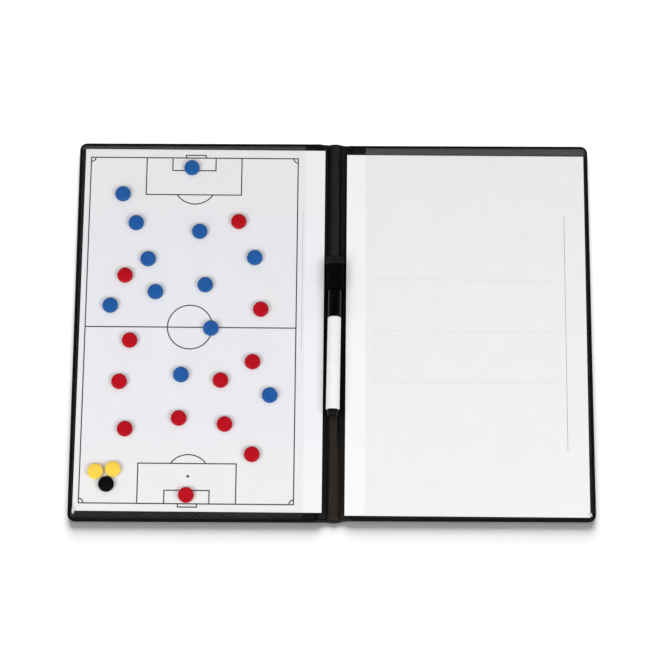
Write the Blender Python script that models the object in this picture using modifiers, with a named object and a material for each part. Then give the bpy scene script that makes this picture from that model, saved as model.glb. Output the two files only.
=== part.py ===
"""A tactics folder, lying open: two hinged leaves, a spine with an elastic pen loop, a capped marker
and loose magnetic counters.

Metres, +Z up. X runs across both leaves, Y along the spine, and the origin is the centre of the open
folder's outline, on the surface it lies on.
"""
import math

import bmesh
import bpy
import numpy as np
from mathutils import Matrix, Vector

# Clearances between pieces
FIT_GAP = 0.0003  # between skins, boards and sheets that lie on each other
PEN_GAP = 0.00035  # between the marker and the spine that it lies on
CAP_CLEARANCE = 0.00045  # between the marker's cap and the elastic round it
TURNED_GAP = 0.0003  # between the marker's nested pieces

# Printed sheets: a folio sheet in the left pocket and a slightly trimmed one in the right
SHEET_LENGTH = 0.330
SHEET_WIDTH = 0.216
SHEET_THICKNESS = 0.0003
RIGHT_TRIM_WIDTH = 0.0033
RIGHT_TRIM_LENGTH = 0.0015
LEFT_SHEET_TURN = -0.25  # degrees, as the sheet sits in its pocket
RIGHT_SHEET_TURN = -0.21
LEFT_SHEET_PAST_HINGE = 0.0018  # the sheet's inner margin runs this far past the hinge axis
RIGHT_SHEET_PAST_HINGE = 0.0010
LEFT_SHEET_ROOM = 0.0015  # between the sheet's outer edge and the pocket's weld
RIGHT_SHEET_ROOM = 0.0010
LEFT_END_ROOM = 0.0044  # between the ends of a full sheet and the pocket's welds
RIGHT_END_ROOM = 0.0030
LEFT_SHEET_RISE = 0.0013  # how far the left sheet's centre lies above the leaf's
RIGHT_SHEET_LIFT = 0.0007  # how far the right sheet lies from the weld below it

# Clear pockets
FILM_THICKNESS = 0.0003
WELD_SIDE = 0.0012  # the film's welded border along the outer side
WELD_END = 0.0007  # and along the two ends
LEFT_THUMB_STRIP = 0.0170  # sheet left bare between the pocket's open edge and the sheet's inner edge
RIGHT_THUMB_STRIP = 0.0172

# Leaves: an outer skin with a rounded rim, a board, a steel sheet on the left only, and a lining
SKIN_THICKNESS = 0.0005
LINING_THICKNESS = 0.0004
BOARD_THICKNESS = 0.0020
STEEL_THICKNESS = 0.0004
STEEL_INSET = 0.0030
RIM_WIDTH = 0.0020
RIM_ABOVE_FILM = 0.0002
RIM_ROUNDING = 0.0017
CORNER_RADIUS = 0.0065
INNER_CORNER_RADIUS = 0.0030  # of the rim's inner wall
HINGE_TO_LEAF = 0.0042  # from the hinge axis to the leaf's inner end
CURL_RADIUS = 0.0010  # where the lining turns down over the board's inner edge

# Spine
BAND_WIDTH = 0.0105
SPINE_BOARD_THICKNESS = 0.0017
SPINE_BOARD_SIDE_ROOM = 0.0011
CROWN_RISE = 0.0008  # the lining's crown over the middle of the spine's board
CROWN_POWER = 2.6
SPINE_END_PROUD = 0.0005  # the spine's welded ends stand out this far past the longer leaf
SPINE_RIM_HEIGHT = 0.0033
SPINE_RIM_WIDTH = 0.0020
SPINE_RIM_ROUNDING = 0.0014
SPINE_BOARD_ROUNDING = 0.0005

# Marker
BARREL_RADIUS = 0.0060  # at the plug
CAP_RADIUS = 0.00585  # the barrel narrows to this at the cap
CAP_LENGTH = 0.0460
BARREL_LENGTH = 0.08295
BARREL_ROUNDING = 0.0008  # at the barrel's shoulder, below the cap's mouth
CAP_WALL = 0.0007
CAP_END_WALL = 0.0015
CAP_ROUNDING = 0.0014
NECK_LENGTH = 0.0140
NECK_WALL = 0.0008
BARREL_WALL = 0.0011
PLUG_RADIUS = 0.0050
PLUG_LENGTH = 0.0054
PLUG_SPIGOT = 0.0063
RESERVOIR_END_ROOM = 0.0008
NIB_RADIUS = 0.0020
NIB_REACH = 0.0310  # from the cap's mouth to the nib's tip
HOLDER_LENGTH = 0.0200
HOLDER_GRIP = 0.0100  # the part of the nib holder that is pressed into the neck
HOLDER_TIP_WALL = 0.0006
PEN_MOUTH_Y = 0.00945  # where the cap's mouth lies along the spine
PEN_SIDE_SHIFT = 0.0005  # from the spine's centre line, at the loop
PEN_TURN = 0.72  # degrees, as the marker lies in its loop

# Elastic loop
LOOP_THICKNESS = 0.0011
LOOP_HOLD = 0.0224  # length of the loop that holds the cap
LOOP_SKIRT = 0.0105  # length of the part that slopes down past the cap's end
LOOP_SKIRT_POWER = 1.5  # how late the skirt starts to fall
LOOP_PAST_CAP = 0.0010
LOOP_FOOT = 0.0015
LOOP_TO_LEAF = 0.0019  # room for a sheet's inner edge to swing past the loop's foot
LOOP_BASE_GAP = 0.00045

# Counters
COUNTER_RADIUS = 0.0069
COUNTER_HEIGHT = 0.0032
COUNTER_ROUNDING = 0.0009
COUNTER_WALL = 0.0011
CORE_RECESS = 0.0003

# Printed pitch, which the counters' places are given on: its margins on the left sheet
PITCH_END_MARGIN = 0.0072
PITCH_OUTER_MARGIN = 0.00495
PITCH_INNER_MARGIN = 0.02435  # towards the spine, past the film's open edge

# Facets
CORNER_SEGMENTS = 5
RIM_SEGMENTS = 3
PEN_STEPS = 28
COUNTER_STEPS = 24
LOOP_SIDE_POINTS = 7
LOOP_ARCH_POINTS = 14
LOOP_SKIRT_ROWS = 6
CROWN_POINTS = 16
EVEN_SHARE = 1e-4  # of a piece's half size, below which two ends count as level

# Each counter's place, as shares of the pitch's half width and half length from its centre
BLUE_PLACES = [
    (-0.024, 0.934), (-0.681, 0.775), (-0.545, 0.604), (0.066, 0.556), (-0.420, 0.392), (0.597, 0.404),
    (0.131, 0.243), (-0.341, 0.200), (-0.766, 0.119), (0.195, -0.009), (-0.077, -0.277), (0.763, -0.390),
]
RED_PLACES = [
    (0.438, 0.616), (-0.635, 0.295), (0.664, 0.103), (-0.571, -0.082), (0.595, -0.200), (-0.657, -0.319),
    (0.297, -0.307), (-0.087, -0.524), (-0.589, -0.587), (0.344, -0.556), (0.605, -0.725), (0.0, -0.955),
]
BLACK_PLACE = (-0.746, -0.898)
# The yellow counters lie beside the black one, in counter diameters
YELLOW_OFFSETS = [(-0.698, 0.810), (0.399, 0.954)]

# Levels above the table
skin_top = SKIN_THICKNESS
board_bottom = skin_top + FIT_GAP
left_board_top = board_bottom + BOARD_THICKNESS
steel_bottom = left_board_top + FIT_GAP
steel_top = steel_bottom + STEEL_THICKNESS
right_board_top = steel_top
lining_bottom = steel_top + FIT_GAP
lining_top = lining_bottom + LINING_THICKNESS
sheet_bottom = lining_top + FIT_GAP
sheet_top = sheet_bottom + SHEET_THICKNESS
film_bottom = sheet_top + FIT_GAP
film_top = film_bottom + FILM_THICKNESS
rim_top = film_top + RIM_ABOVE_FILM
counter_bottom = film_top + FIT_GAP
hinge_height = lining_top
strip_top = SKIN_THICKNESS + LINING_THICKNESS
spine_board_top = skin_top + FIT_GAP + SPINE_BOARD_THICKNESS
crown_top = spine_board_top + CROWN_RISE + LINING_THICKNESS
pen_height = crown_top + PEN_GAP + BARREL_RADIUS

# Widths along X, each leaf's counted outwards from its hinge axis
loop_inner_radius = CAP_RADIUS + CAP_CLEARANCE
loop_mid_radius = loop_inner_radius + LOOP_THICKNESS / 2
loop_reach = PEN_SIDE_SHIFT + loop_inner_radius + LOOP_THICKNESS + LOOP_FOOT
hinge_offset = loop_reach + LOOP_TO_LEAF
right_sheet_width = SHEET_WIDTH - RIGHT_TRIM_WIDTH
right_sheet_length = SHEET_LENGTH - RIGHT_TRIM_LENGTH
pocket_to_edge = WELD_SIDE + FIT_GAP + RIM_WIDTH
left_leaf_width = SHEET_WIDTH - LEFT_SHEET_PAST_HINGE + LEFT_SHEET_ROOM + pocket_to_edge
right_leaf_width = right_sheet_width - RIGHT_SHEET_PAST_HINGE + RIGHT_SHEET_ROOM + pocket_to_edge
spine_x = (left_leaf_width - right_leaf_width) / 2
band_half = BAND_WIDTH / 2

# Lengths along Y
slot_to_end = WELD_END + FIT_GAP + RIM_WIDTH
left_leaf_half = SHEET_LENGTH / 2 + LEFT_END_ROOM + slot_to_end
right_leaf_half = SHEET_LENGTH / 2 + RIGHT_END_ROOM + slot_to_end
spine_half = max(left_leaf_half, right_leaf_half) + SPINE_END_PROUD
cap_end_y = PEN_MOUTH_Y + CAP_LENGTH
loop_knee_y = cap_end_y + LOOP_PAST_CAP
loop_near_y = loop_knee_y - LOOP_HOLD

# The printed pitch
pitch_width = SHEET_WIDTH - PITCH_OUTER_MARGIN - PITCH_INNER_MARGIN
pitch_length = SHEET_LENGTH - 2 * PITCH_END_MARGIN
pitch_side_shift = (PITCH_OUTER_MARGIN - PITCH_INNER_MARGIN) / 2  # from the sheet's centre

PVC_BLACK = ((0.012, 0.012, 0.013), 0.45, 0.0)
BOARD_GREY = ((0.30, 0.28, 0.25), 0.9, 0.0)
STEEL = ((0.55, 0.56, 0.57), 0.4, 1.0)
PAPER_WHITE = ((0.86, 0.87, 0.90), 0.55, 0.0)
FILM_CLEAR = ((0.75, 0.77, 0.80), 0.12, 0.0)
ELASTIC_BLACK = ((0.006, 0.006, 0.007), 0.9, 0.0)
GLOSS_BLACK = ((0.008, 0.008, 0.008), 0.15, 0.0)
PEN_WHITE = ((0.88, 0.87, 0.85), 0.3, 0.0)
FELT_DARK = ((0.02, 0.02, 0.02), 0.95, 0.0)
FIBRE_WHITE = ((0.70, 0.68, 0.64), 0.9, 0.0)
COUNTER_BLUE = ((0.017, 0.102, 0.376), 0.4, 0.0)
COUNTER_RED = ((0.515, 0.009, 0.016), 0.4, 0.0)
COUNTER_YELLOW = ((0.97, 0.68, 0.07), 0.4, 0.0)
COUNTER_BLACK = ((0.004, 0.004, 0.006), 0.4, 0.0)


def clear_scene():
    for obj in list(bpy.data.objects):
        bpy.data.objects.remove(obj)


def new_collection(name):
    collection = bpy.data.collections.new(name)
    bpy.context.scene.collection.children.link(collection)
    return collection


clear_scene()
parts = new_collection("tactics_folder")
cutters = new_collection("cutters")


def finish_for(kind_name, kind):
    colour, roughness, metallic = kind
    material = bpy.data.materials.new(kind_name)
    material.use_nodes = True
    principled = material.node_tree.nodes["Principled BSDF"]
    principled.inputs["Base Color"].default_value = (*colour, 1.0)
    principled.inputs["Roughness"].default_value = roughness
    principled.inputs["Metallic"].default_value = metallic
    return material


def add_piece(name, mesh, kind, at=(0, 0, 0), parent=None):
    """A sub-part placed at a world position, under an unturned parent if it has one."""
    piece = bpy.data.objects.new(name, mesh)
    parts.objects.link(piece)
    mesh.materials.append(finish_for(name, kind))
    piece.parent = parent
    piece.location = Vector(at) - (parent.location if parent else Vector())
    return piece


def add_cutter(name, mesh, at=(0, 0, 0)):
    cutter = bpy.data.objects.new(name, mesh)
    cutters.objects.link(cutter)
    cutter.location = at
    cutter.hide_render = True
    cutter.display_type = "WIRE"
    return cutter


def add_empty(name, at):
    empty = bpy.data.objects.new(name, None)
    parts.objects.link(empty)
    empty.empty_display_size = 0.01
    empty.location = at
    return empty


def use_boolean(piece, cutter, operation):
    modifier = piece.modifiers.new(cutter.name, "BOOLEAN")
    modifier.operation = operation
    modifier.solver = "EXACT"
    modifier.object = cutter


def smooth(mesh, degrees=35):
    mesh.shade_smooth()
    mesh.set_sharp_from_angle(angle=math.radians(degrees))


def to_mesh(name, form):
    mesh = bpy.data.meshes.new(name)
    form.to_mesh(mesh)
    form.free()
    return mesh


def block(size):
    """A box round its own centre, as a bmesh."""
    form = bmesh.new()
    bmesh.ops.create_cube(form, size=1.0)
    bmesh.ops.scale(form, vec=Vector(size), verts=form.verts)
    return form


def bevel(form, edges, width, segments):
    bmesh.ops.bevel(
        form, geom=edges, offset=width, offset_type="OFFSET", segments=segments, profile=0.5,
        affect="EDGES",
    )


def middle(low, high):
    return (low + high) / 2


def leaf_slab(name, side, inner_x, outer_x, half_length, low, high, corner, edge_rounding=0.0):
    """A flat piece of one leaf, with its two outer corners rounded; side is -1 on the left leaf.

    With an edge rounding, its outer side and ends are rounded at top and bottom as well, but not
    the end at the hinge. Returns the mesh and the place of its centre.
    """
    form = block((abs(outer_x - inner_x), 2 * half_length, high - low))
    half_width = abs(outer_x - inner_x) / 2
    tiny = half_width * EVEN_SHARE
    uprights = [
        edge for edge in form.edges
        if abs(edge.verts[0].co.z - edge.verts[1].co.z) > tiny and edge.verts[0].co.x * side > 0
    ]
    bevel(form, uprights, corner, CORNER_SEGMENTS)
    if edge_rounding:
        rims = [
            edge for edge in form.edges
            if abs(edge.verts[0].co.z - edge.verts[1].co.z) < tiny
            and max(vert.co.x * side for vert in edge.verts) > tiny - half_width
        ]
        bevel(form, rims, edge_rounding, RIM_SEGMENTS)
    mesh = to_mesh(name, form)
    smooth(mesh)
    return mesh, (middle(inner_x, outer_x), 0.0, middle(low, high))


def plain_slab(name, x_range, half_length, low, high):
    mesh = to_mesh(name, block((x_range[1] - x_range[0], 2 * half_length, high - low)))
    return mesh, (middle(*x_range), 0.0, middle(low, high))


def inset_corner(inset):
    """The corner radius of a piece that lies this far in from the rim's inner wall."""
    return max(INNER_CORNER_RADIUS - inset, FIT_GAP)


def add_end_rims(name, x_range, half_length, skin, kind, parent):
    """A strip of skin along the spine, with a rounded rim standing up across each of its ends."""
    form = block((x_range[1] - x_range[0], 2 * half_length, SPINE_RIM_HEIGHT))
    tiny = half_length * EVEN_SHARE
    across = [edge for edge in form.edges if abs(edge.verts[0].co.x - edge.verts[1].co.x) > tiny]
    bevel(form, across, SPINE_RIM_ROUNDING, RIM_SEGMENTS)
    mesh = to_mesh(name, form)
    smooth(mesh)
    strip = add_piece(name, mesh, kind, (middle(*x_range), 0.0, SPINE_RIM_HEIGHT / 2), parent)
    past = (x_range[0] - RIM_WIDTH, x_range[1] + RIM_WIDTH)
    hollow, centre = plain_slab(
        name + "_hollow", past, half_length - SPINE_RIM_WIDTH, skin, SPINE_RIM_HEIGHT + RIM_WIDTH
    )
    use_boolean(strip, add_cutter(name + "_hollow", hollow, centre), "DIFFERENCE")
    return strip


def sheet_along_y(name, profile, half_length):
    """An open surface along the spine, whose section is the profile's (x, z) points."""
    form = bmesh.new()
    rows = [[form.verts.new((x, y, z)) for x, z in profile] for y in (-half_length, half_length)]
    for near, far in zip(zip(rows[0], rows[0][1:]), zip(rows[1], rows[1][1:])):
        form.faces.new((near[0], near[1], far[1], far[0]))
    mesh = to_mesh(name, form)
    smooth(mesh)
    return mesh


def thicken(piece, thickness):
    modifier = piece.modifiers.new("thickness", "SOLIDIFY")
    modifier.thickness = thickness
    modifier.offset = 0.0
    modifier.use_even_offset = True


class Leaf:
    """One leaf's frame: side -1 or 1, its hinge axis and the sizes that differ between the leaves.

    half is half its length, and the other halves are those of the rim's inner wall, the film and
    the slot that the film's welds leave for the sheet.
    """

    def __init__(self, name, side, width, half, parent):
        self.name = name
        self.side = side
        self.axis_x = spine_x + side * hinge_offset
        self.width = width
        self.half = half
        self.rim_inner_half = half - RIM_WIDTH
        self.film_half = self.rim_inner_half - FIT_GAP
        self.slot_half = self.film_half - WELD_END
        self.parent = parent

    def x(self, outwards):
        """The world x at this distance outwards from the hinge axis."""
        return self.axis_x + self.side * outwards


def add_cover(leaf):
    """The outer skin, a tray with a rounded rim on three sides, flush and open towards the spine."""
    name = leaf.name + "_cover"
    mesh, centre = leaf_slab(
        name, leaf.side, leaf.x(HINGE_TO_LEAF), leaf.x(leaf.width), leaf.half,
        0.0, rim_top, CORNER_RADIUS, RIM_ROUNDING,
    )
    cover = add_piece(name, mesh, PVC_BLACK, centre, leaf.parent)
    hollow, centre = leaf_slab(
        name + "_hollow", leaf.side, leaf.x(0.0), leaf.x(leaf.width - RIM_WIDTH), leaf.rim_inner_half,
        skin_top, rim_top + RIM_WIDTH, INNER_CORNER_RADIUS,
    )
    use_boolean(cover, add_cutter(name + "_hollow", hollow, centre), "DIFFERENCE")


def add_flat_layer(leaf, suffix, kind, inset, low, high):
    """A board or sheet inside the rim, this far in from the rim's inner wall."""
    name = leaf.name + suffix
    inner = HINGE_TO_LEAF + FIT_GAP + LINING_THICKNESS + inset
    mesh, centre = leaf_slab(
        name, leaf.side, leaf.x(inner), leaf.x(leaf.width - RIM_WIDTH - inset),
        leaf.rim_inner_half - inset, low, high, inset_corner(inset),
    )
    add_piece(name, mesh, kind, centre, leaf.parent)


def add_lining(leaf):
    """The inner skin, which turns down over the board's inner edge to meet the hinge strip."""
    name = leaf.name + "_lining"
    half = LINING_THICKNESS / 2
    upright = HINGE_TO_LEAF + FIT_GAP + half
    level = lining_top - half
    outer = leaf.width - RIM_WIDTH - FIT_GAP
    curl = [
        (upright + CURL_RADIUS * (1 - math.cos(turn)), level - CURL_RADIUS * (1 - math.sin(turn)))
        for turn in np.linspace(0, math.pi / 2, CORNER_SEGMENTS + 1)
    ]
    profile = [(upright, skin_top + FIT_GAP)] + curl + [(outer + RIM_WIDTH, level)]
    mesh = sheet_along_y(name, [(leaf.side * u, z) for u, z in profile], leaf.half)
    lining = add_piece(name, mesh, PVC_BLACK, (leaf.axis_x, 0.0, 0.0), leaf.parent)
    thicken(lining, LINING_THICKNESS)
    trim, centre = leaf_slab(
        name + "_trim", leaf.side, leaf.x(0.0), leaf.x(outer), leaf.rim_inner_half - FIT_GAP,
        -RIM_WIDTH, rim_top + RIM_WIDTH, inset_corner(FIT_GAP),
    )
    use_boolean(lining, add_cutter(name + "_trim", trim, centre), "INTERSECT")


def add_sheet(leaf, width, length, past_hinge, turn, centre_y):
    """The printed sheet, lying slightly turned in its pocket. Returns the place of its centre."""
    name = leaf.name + "_insert"
    centre = (leaf.x(width / 2 - past_hinge), centre_y, middle(sheet_bottom, sheet_top))
    mesh = to_mesh(name, block((width, length, SHEET_THICKNESS)))
    sheet = add_piece(name, mesh, PAPER_WHITE, centre, leaf.parent)
    sheet.rotation_euler.z = math.radians(turn)
    return centre


def add_pocket(leaf, open_edge):
    """The clear film over the sheet, welded down on three sides and open towards the spine."""
    name = leaf.name + "_pocket"
    outer = leaf.width - RIM_WIDTH - FIT_GAP
    mesh, centre = leaf_slab(
        name, leaf.side, leaf.x(open_edge), leaf.x(outer), leaf.film_half,
        sheet_bottom, film_top, inset_corner(FIT_GAP),
    )
    pocket = add_piece(name, mesh, FILM_CLEAR, centre, leaf.parent)
    slot, centre = leaf_slab(
        name + "_slot", leaf.side, leaf.x(open_edge - RIM_WIDTH), leaf.x(outer - WELD_SIDE),
        leaf.slot_half, sheet_bottom - RIM_WIDTH, film_bottom, inset_corner(FIT_GAP + WELD_SIDE),
    )
    use_boolean(pocket, add_cutter(name + "_slot", slot, centre), "DIFFERENCE")


def add_leaves():
    """Both leaves, each under an empty on its hinge axis. Returns the left one and its sheet's centre."""
    hinges = [
        add_empty(name, (spine_x + side * hinge_offset, 0.0, hinge_height))
        for name, side in (("left_hinge_axis", -1), ("right_hinge_axis", 1))
    ]
    left = Leaf("left", -1, left_leaf_width, left_leaf_half, hinges[0])
    right = Leaf("right", 1, right_leaf_width, right_leaf_half, hinges[1])
    for leaf in (left, right):
        add_cover(leaf)
        add_lining(leaf)
    add_flat_layer(left, "_board", BOARD_GREY, FIT_GAP, board_bottom, left_board_top)
    add_flat_layer(left, "_steel_sheet", STEEL, STEEL_INSET, steel_bottom, steel_top)
    add_flat_layer(right, "_board", BOARD_GREY, FIT_GAP, board_bottom, right_board_top)
    sheet_centre = add_sheet(
        left, SHEET_WIDTH, SHEET_LENGTH, LEFT_SHEET_PAST_HINGE, LEFT_SHEET_TURN, LEFT_SHEET_RISE
    )
    swing = right_sheet_width / 2 * abs(math.sin(math.radians(RIGHT_SHEET_TURN)))
    settled_y = right_sheet_length / 2 + swing + RIGHT_SHEET_LIFT - right.slot_half
    add_sheet(
        right, right_sheet_width, right_sheet_length, RIGHT_SHEET_PAST_HINGE, RIGHT_SHEET_TURN, settled_y
    )
    add_pocket(left, LEFT_THUMB_STRIP - LEFT_SHEET_PAST_HINGE)
    add_pocket(right, RIGHT_THUMB_STRIP - RIGHT_SHEET_PAST_HINGE)
    return left, sheet_centre


def crown(x, half_width, base, height):
    """The height of a squared-off arch at x from its middle."""
    share = min(abs(x / half_width), 1.0)
    return base + height * (1 - share ** CROWN_POWER) ** (1 / CROWN_POWER)


def add_spine():
    """The spine between the creases, and a flexible strip of welded skin on each side of it."""
    band = (spine_x - band_half, spine_x + band_half)
    add_end_rims("spine_cover", band, spine_half, SKIN_THICKNESS, PVC_BLACK, None)
    board_half = band_half - LINING_THICKNESS - SPINE_BOARD_SIDE_ROOM
    inner_half = spine_half - SPINE_RIM_WIDTH - FIT_GAP
    form = block((2 * board_half, 2 * inner_half, SPINE_BOARD_THICKNESS))
    upper = [
        edge for edge in form.edges
        if min(vert.co.z for vert in edge.verts) > 0
        and abs(edge.verts[0].co.y - edge.verts[1].co.y) > inner_half
    ]
    bevel(form, upper, SPINE_BOARD_ROUNDING, 2)
    mesh = to_mesh("spine_board", form)
    add_piece("spine_board", mesh, BOARD_GREY, (spine_x, 0.0, middle(skin_top + FIT_GAP, spine_board_top)))
    half = LINING_THICKNESS / 2
    base = skin_top + FIT_GAP
    turns = np.linspace(math.pi, 0, CROWN_POINTS + 1)
    across = [(band_half - half) * math.cos(turn) for turn in turns]
    profile = [(x, crown(x, band_half - half, base, crown_top - half - base)) for x in across]
    mesh = sheet_along_y("spine_lining", profile, inner_half)
    thicken(add_piece("spine_lining", mesh, PVC_BLACK, (spine_x, 0.0, 0.0)), LINING_THICKNESS)
    to_leaf = hinge_offset + HINGE_TO_LEAF - FIT_GAP
    to_band = band_half + FIT_GAP
    for name, limits, half_length in (
        ("left_hinge_strip", (spine_x - to_leaf, spine_x - to_band), left_leaf_half),
        ("right_hinge_strip", (spine_x + to_band, spine_x + to_leaf), right_leaf_half),
    ):
        add_end_rims(name, limits, half_length, strip_top, PVC_BLACK, None)


def side_curve(foot_x, leg_x, foot_height, count):
    """A smooth S from the loop's foot up to the level of the marker's axis, as (x, z) points."""
    knots = [
        (foot_x, foot_height), (leg_x, foot_height),
        (leg_x, middle(foot_height, pen_height)), (leg_x, pen_height),
    ]
    points = []
    for share in np.linspace(0, 1, count, endpoint=False):
        weights = ((1 - share) ** 3, 3 * share * (1 - share) ** 2, 3 * share ** 2 * (1 - share), share ** 3)
        points.append(tuple(sum(w * knot[axis] for w, knot in zip(weights, knots)) for axis in (0, 1)))
    return points


def loop_sections():
    """The loop's full section round the cap, and the low one where its skirt meets the spine.

    Both run from the left foot to the right one, with the same number of (x, z) points.
    """
    pen_x = spine_x + PEN_SIDE_SHIFT
    half = LOOP_THICKNESS / 2
    foot_height = strip_top + LOOP_BASE_GAP + half
    left_foot, right_foot = spine_x - loop_reach, spine_x + loop_reach
    clear_of_band = band_half + LOOP_BASE_GAP + half
    left_leg = min(pen_x - loop_mid_radius, spine_x - clear_of_band)
    right_leg = max(pen_x + loop_mid_radius, spine_x + clear_of_band)
    arch = [
        (pen_x - loop_mid_radius * math.cos(turn), pen_height + loop_mid_radius * math.sin(turn))
        for turn in np.linspace(0, math.pi, LOOP_ARCH_POINTS + 1)
    ]
    rising = side_curve(left_foot, left_leg, foot_height, LOOP_SIDE_POINTS)
    falling = side_curve(right_foot, right_leg, foot_height, LOOP_SIDE_POINTS)[::-1]
    full = rising + arch + falling
    low_half = clear_of_band + LOOP_THICKNESS
    low_top = crown_top + LOOP_BASE_GAP + half
    low = []
    for share in np.linspace(-1, 1, len(full)):
        x = loop_reach * math.sin(share * math.pi / 2)
        low.append((spine_x + x, crown(x, low_half, foot_height, low_top - foot_height)))
    return full, low


def add_loop():
    """The elastic loop, lofted along the spine: it holds the cap, then slopes down past the cap's end."""
    full, low = loop_sections()
    rows = [(loop_near_y, 0.0), (middle(loop_near_y, loop_knee_y), 0.0)]
    for share in np.linspace(0, 1, LOOP_SKIRT_ROWS + 1):
        rows.append((loop_knee_y + LOOP_SKIRT * share, math.sin(share * math.pi / 2) ** LOOP_SKIRT_POWER))
    form = bmesh.new()
    grid = []
    for y, fall in rows:
        section = [
            form.verts.new((a[0] + (b[0] - a[0]) * fall, y, a[1] + (b[1] - a[1]) * fall))
            for a, b in zip(full, low)
        ]
        grid.append(section)
    for near, far in zip(grid, grid[1:]):
        for k in range(len(near) - 1):
            form.faces.new((near[k], near[k + 1], far[k + 1], far[k]))
    mesh = to_mesh("pen_loop", form)
    smooth(mesh)
    thicken(add_piece("pen_loop", mesh, ELASTIC_BLACK), LOOP_THICKNESS)


def add_turned(name, profile, kind, parent, steps, ring=False):
    """A turned piece: a profile of (radius, height) points, down its outer side, swept round Z."""
    mesh = bpy.data.meshes.new(name)
    count = len(profile)
    edges = [(k, k + 1) for k in range(count - 1)] + ([(count - 1, 0)] if ring else [])
    mesh.from_pydata([(radius, 0.0, height) for radius, height in profile], edges, [])
    piece = bpy.data.objects.new(name, mesh)
    parts.objects.link(piece)
    mesh.materials.append(finish_for(name, kind))
    piece.parent = parent
    turn_round(piece, steps)
    return piece


def turn_round(piece, steps):
    screw = piece.modifiers.new("turn", "SCREW")
    screw.axis = "Z"
    screw.steps = steps
    screw.render_steps = steps
    screw.use_smooth_shade = True
    screw.use_merge_vertices = True
    screw.merge_threshold = 0.00001


def arc(centre_radius, centre_height, radius, start, end, count):
    """Points of a rounding, in degrees from the outward direction."""
    return [
        (centre_radius + radius * math.cos(turn), centre_height + radius * math.sin(turn))
        for turn in np.radians(np.linspace(start, end, count))
    ]


def add_marker():
    """The marker, whose axis is the empty's Z: the cap's mouth at 0, the cap above it, the barrel below."""
    hold_y = middle(loop_near_y, loop_knee_y)
    axis = add_empty("pen_axis", (spine_x + PEN_SIDE_SHIFT, hold_y, pen_height))
    axis.rotation_euler = (math.radians(-90), 0.0, math.radians(-PEN_TURN))
    mouth = (PEN_MOUTH_Y - hold_y) / math.cos(math.radians(PEN_TURN))
    neck_radius = CAP_RADIUS - CAP_WALL - TURNED_GAP
    neck_bore = neck_radius - NECK_WALL
    barrel_bore = BARREL_RADIUS - BARREL_WALL
    cap_end = CAP_LENGTH
    cap_bore = CAP_RADIUS - CAP_WALL

    cap = [(0.0, cap_end)] + arc(CAP_RADIUS - CAP_ROUNDING, cap_end - CAP_ROUNDING, CAP_ROUNDING, 90, 0, 4)
    cap += [(CAP_RADIUS, 0.0), (cap_bore, 0.0), (cap_bore, NECK_LENGTH + 2 * TURNED_GAP)]
    cap += [(cap_bore - CAP_WALL, cap_end - CAP_END_WALL - CAP_WALL)]
    cap += [(cap_bore - 2 * CAP_WALL, cap_end - CAP_END_WALL), (0.0, cap_end - CAP_END_WALL)]

    shoulder = -TURNED_GAP
    barrel_end = shoulder - BARREL_LENGTH
    bore_step = shoulder - NECK_WALL
    barrel = [(neck_radius, NECK_LENGTH), (neck_radius, shoulder)]
    barrel += arc(CAP_RADIUS - BARREL_ROUNDING, shoulder - BARREL_ROUNDING, BARREL_ROUNDING, 90, 0, 4)
    barrel += [(BARREL_RADIUS, barrel_end), (barrel_bore, barrel_end), (barrel_bore, bore_step)]
    barrel += [(neck_bore, bore_step), (neck_bore, NECK_LENGTH)]

    plug_top = barrel_end - TURNED_GAP
    plug_bottom = plug_top - PLUG_LENGTH
    spigot_top = barrel_end + PLUG_SPIGOT
    spigot_radius = barrel_bore - TURNED_GAP
    plug = [(0.0, spigot_top), (spigot_radius, spigot_top), (spigot_radius, plug_top)]
    plug += [(max(PLUG_RADIUS, spigot_radius + TURNED_GAP), plug_top)]
    plug += arc(PLUG_RADIUS - CAP_WALL, plug_bottom + CAP_WALL, CAP_WALL, 0, -90, 4) + [(0.0, plug_bottom)]

    nib_bottom = bore_step
    nib_shoulder = NIB_REACH - 2 * NIB_RADIUS
    nib = [(NIB_RADIUS * math.sin(turn), nib_shoulder + 2 * NIB_RADIUS * math.cos(turn))
           for turn in np.linspace(0, math.pi / 2, 5)]
    nib += [(NIB_RADIUS, nib_bottom), (0.0, nib_bottom)]

    holder_bore = NIB_RADIUS + TURNED_GAP
    holder_radius = neck_bore - TURNED_GAP
    holder_bottom = NECK_LENGTH - HOLDER_GRIP
    holder_top = holder_bottom + HOLDER_LENGTH
    collar = NECK_LENGTH + TURNED_GAP
    holder = [(holder_bore + HOLDER_TIP_WALL, holder_top), (holder_radius, collar + NECK_WALL)]
    holder += [(neck_radius, collar + NECK_WALL), (neck_radius, collar), (holder_radius, collar)]
    holder += [(holder_radius, holder_bottom), (holder_bore, holder_bottom), (holder_bore, holder_top)]

    reservoir_top = nib_bottom - TURNED_GAP
    reservoir_bottom = spigot_top + RESERVOIR_END_ROOM
    reservoir_radius = barrel_bore - TURNED_GAP
    reservoir = [(0.0, reservoir_top), (reservoir_radius, reservoir_top)]
    reservoir += [(reservoir_radius, reservoir_bottom), (0.0, reservoir_bottom)]

    for name, profile, kind, ring in (
        ("pen_cap", cap, GLOSS_BLACK, False),
        ("pen_barrel", barrel, PEN_WHITE, True),
        ("pen_end_plug", plug, GLOSS_BLACK, False),
        ("pen_nib", nib, FELT_DARK, False),
        ("pen_nib_holder", holder, PEN_WHITE, True),
        ("pen_reservoir", reservoir, FIBRE_WHITE, False),
    ):
        add_turned(name, profile, kind, axis, PEN_STEPS, ring).location.z = mouth


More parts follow.
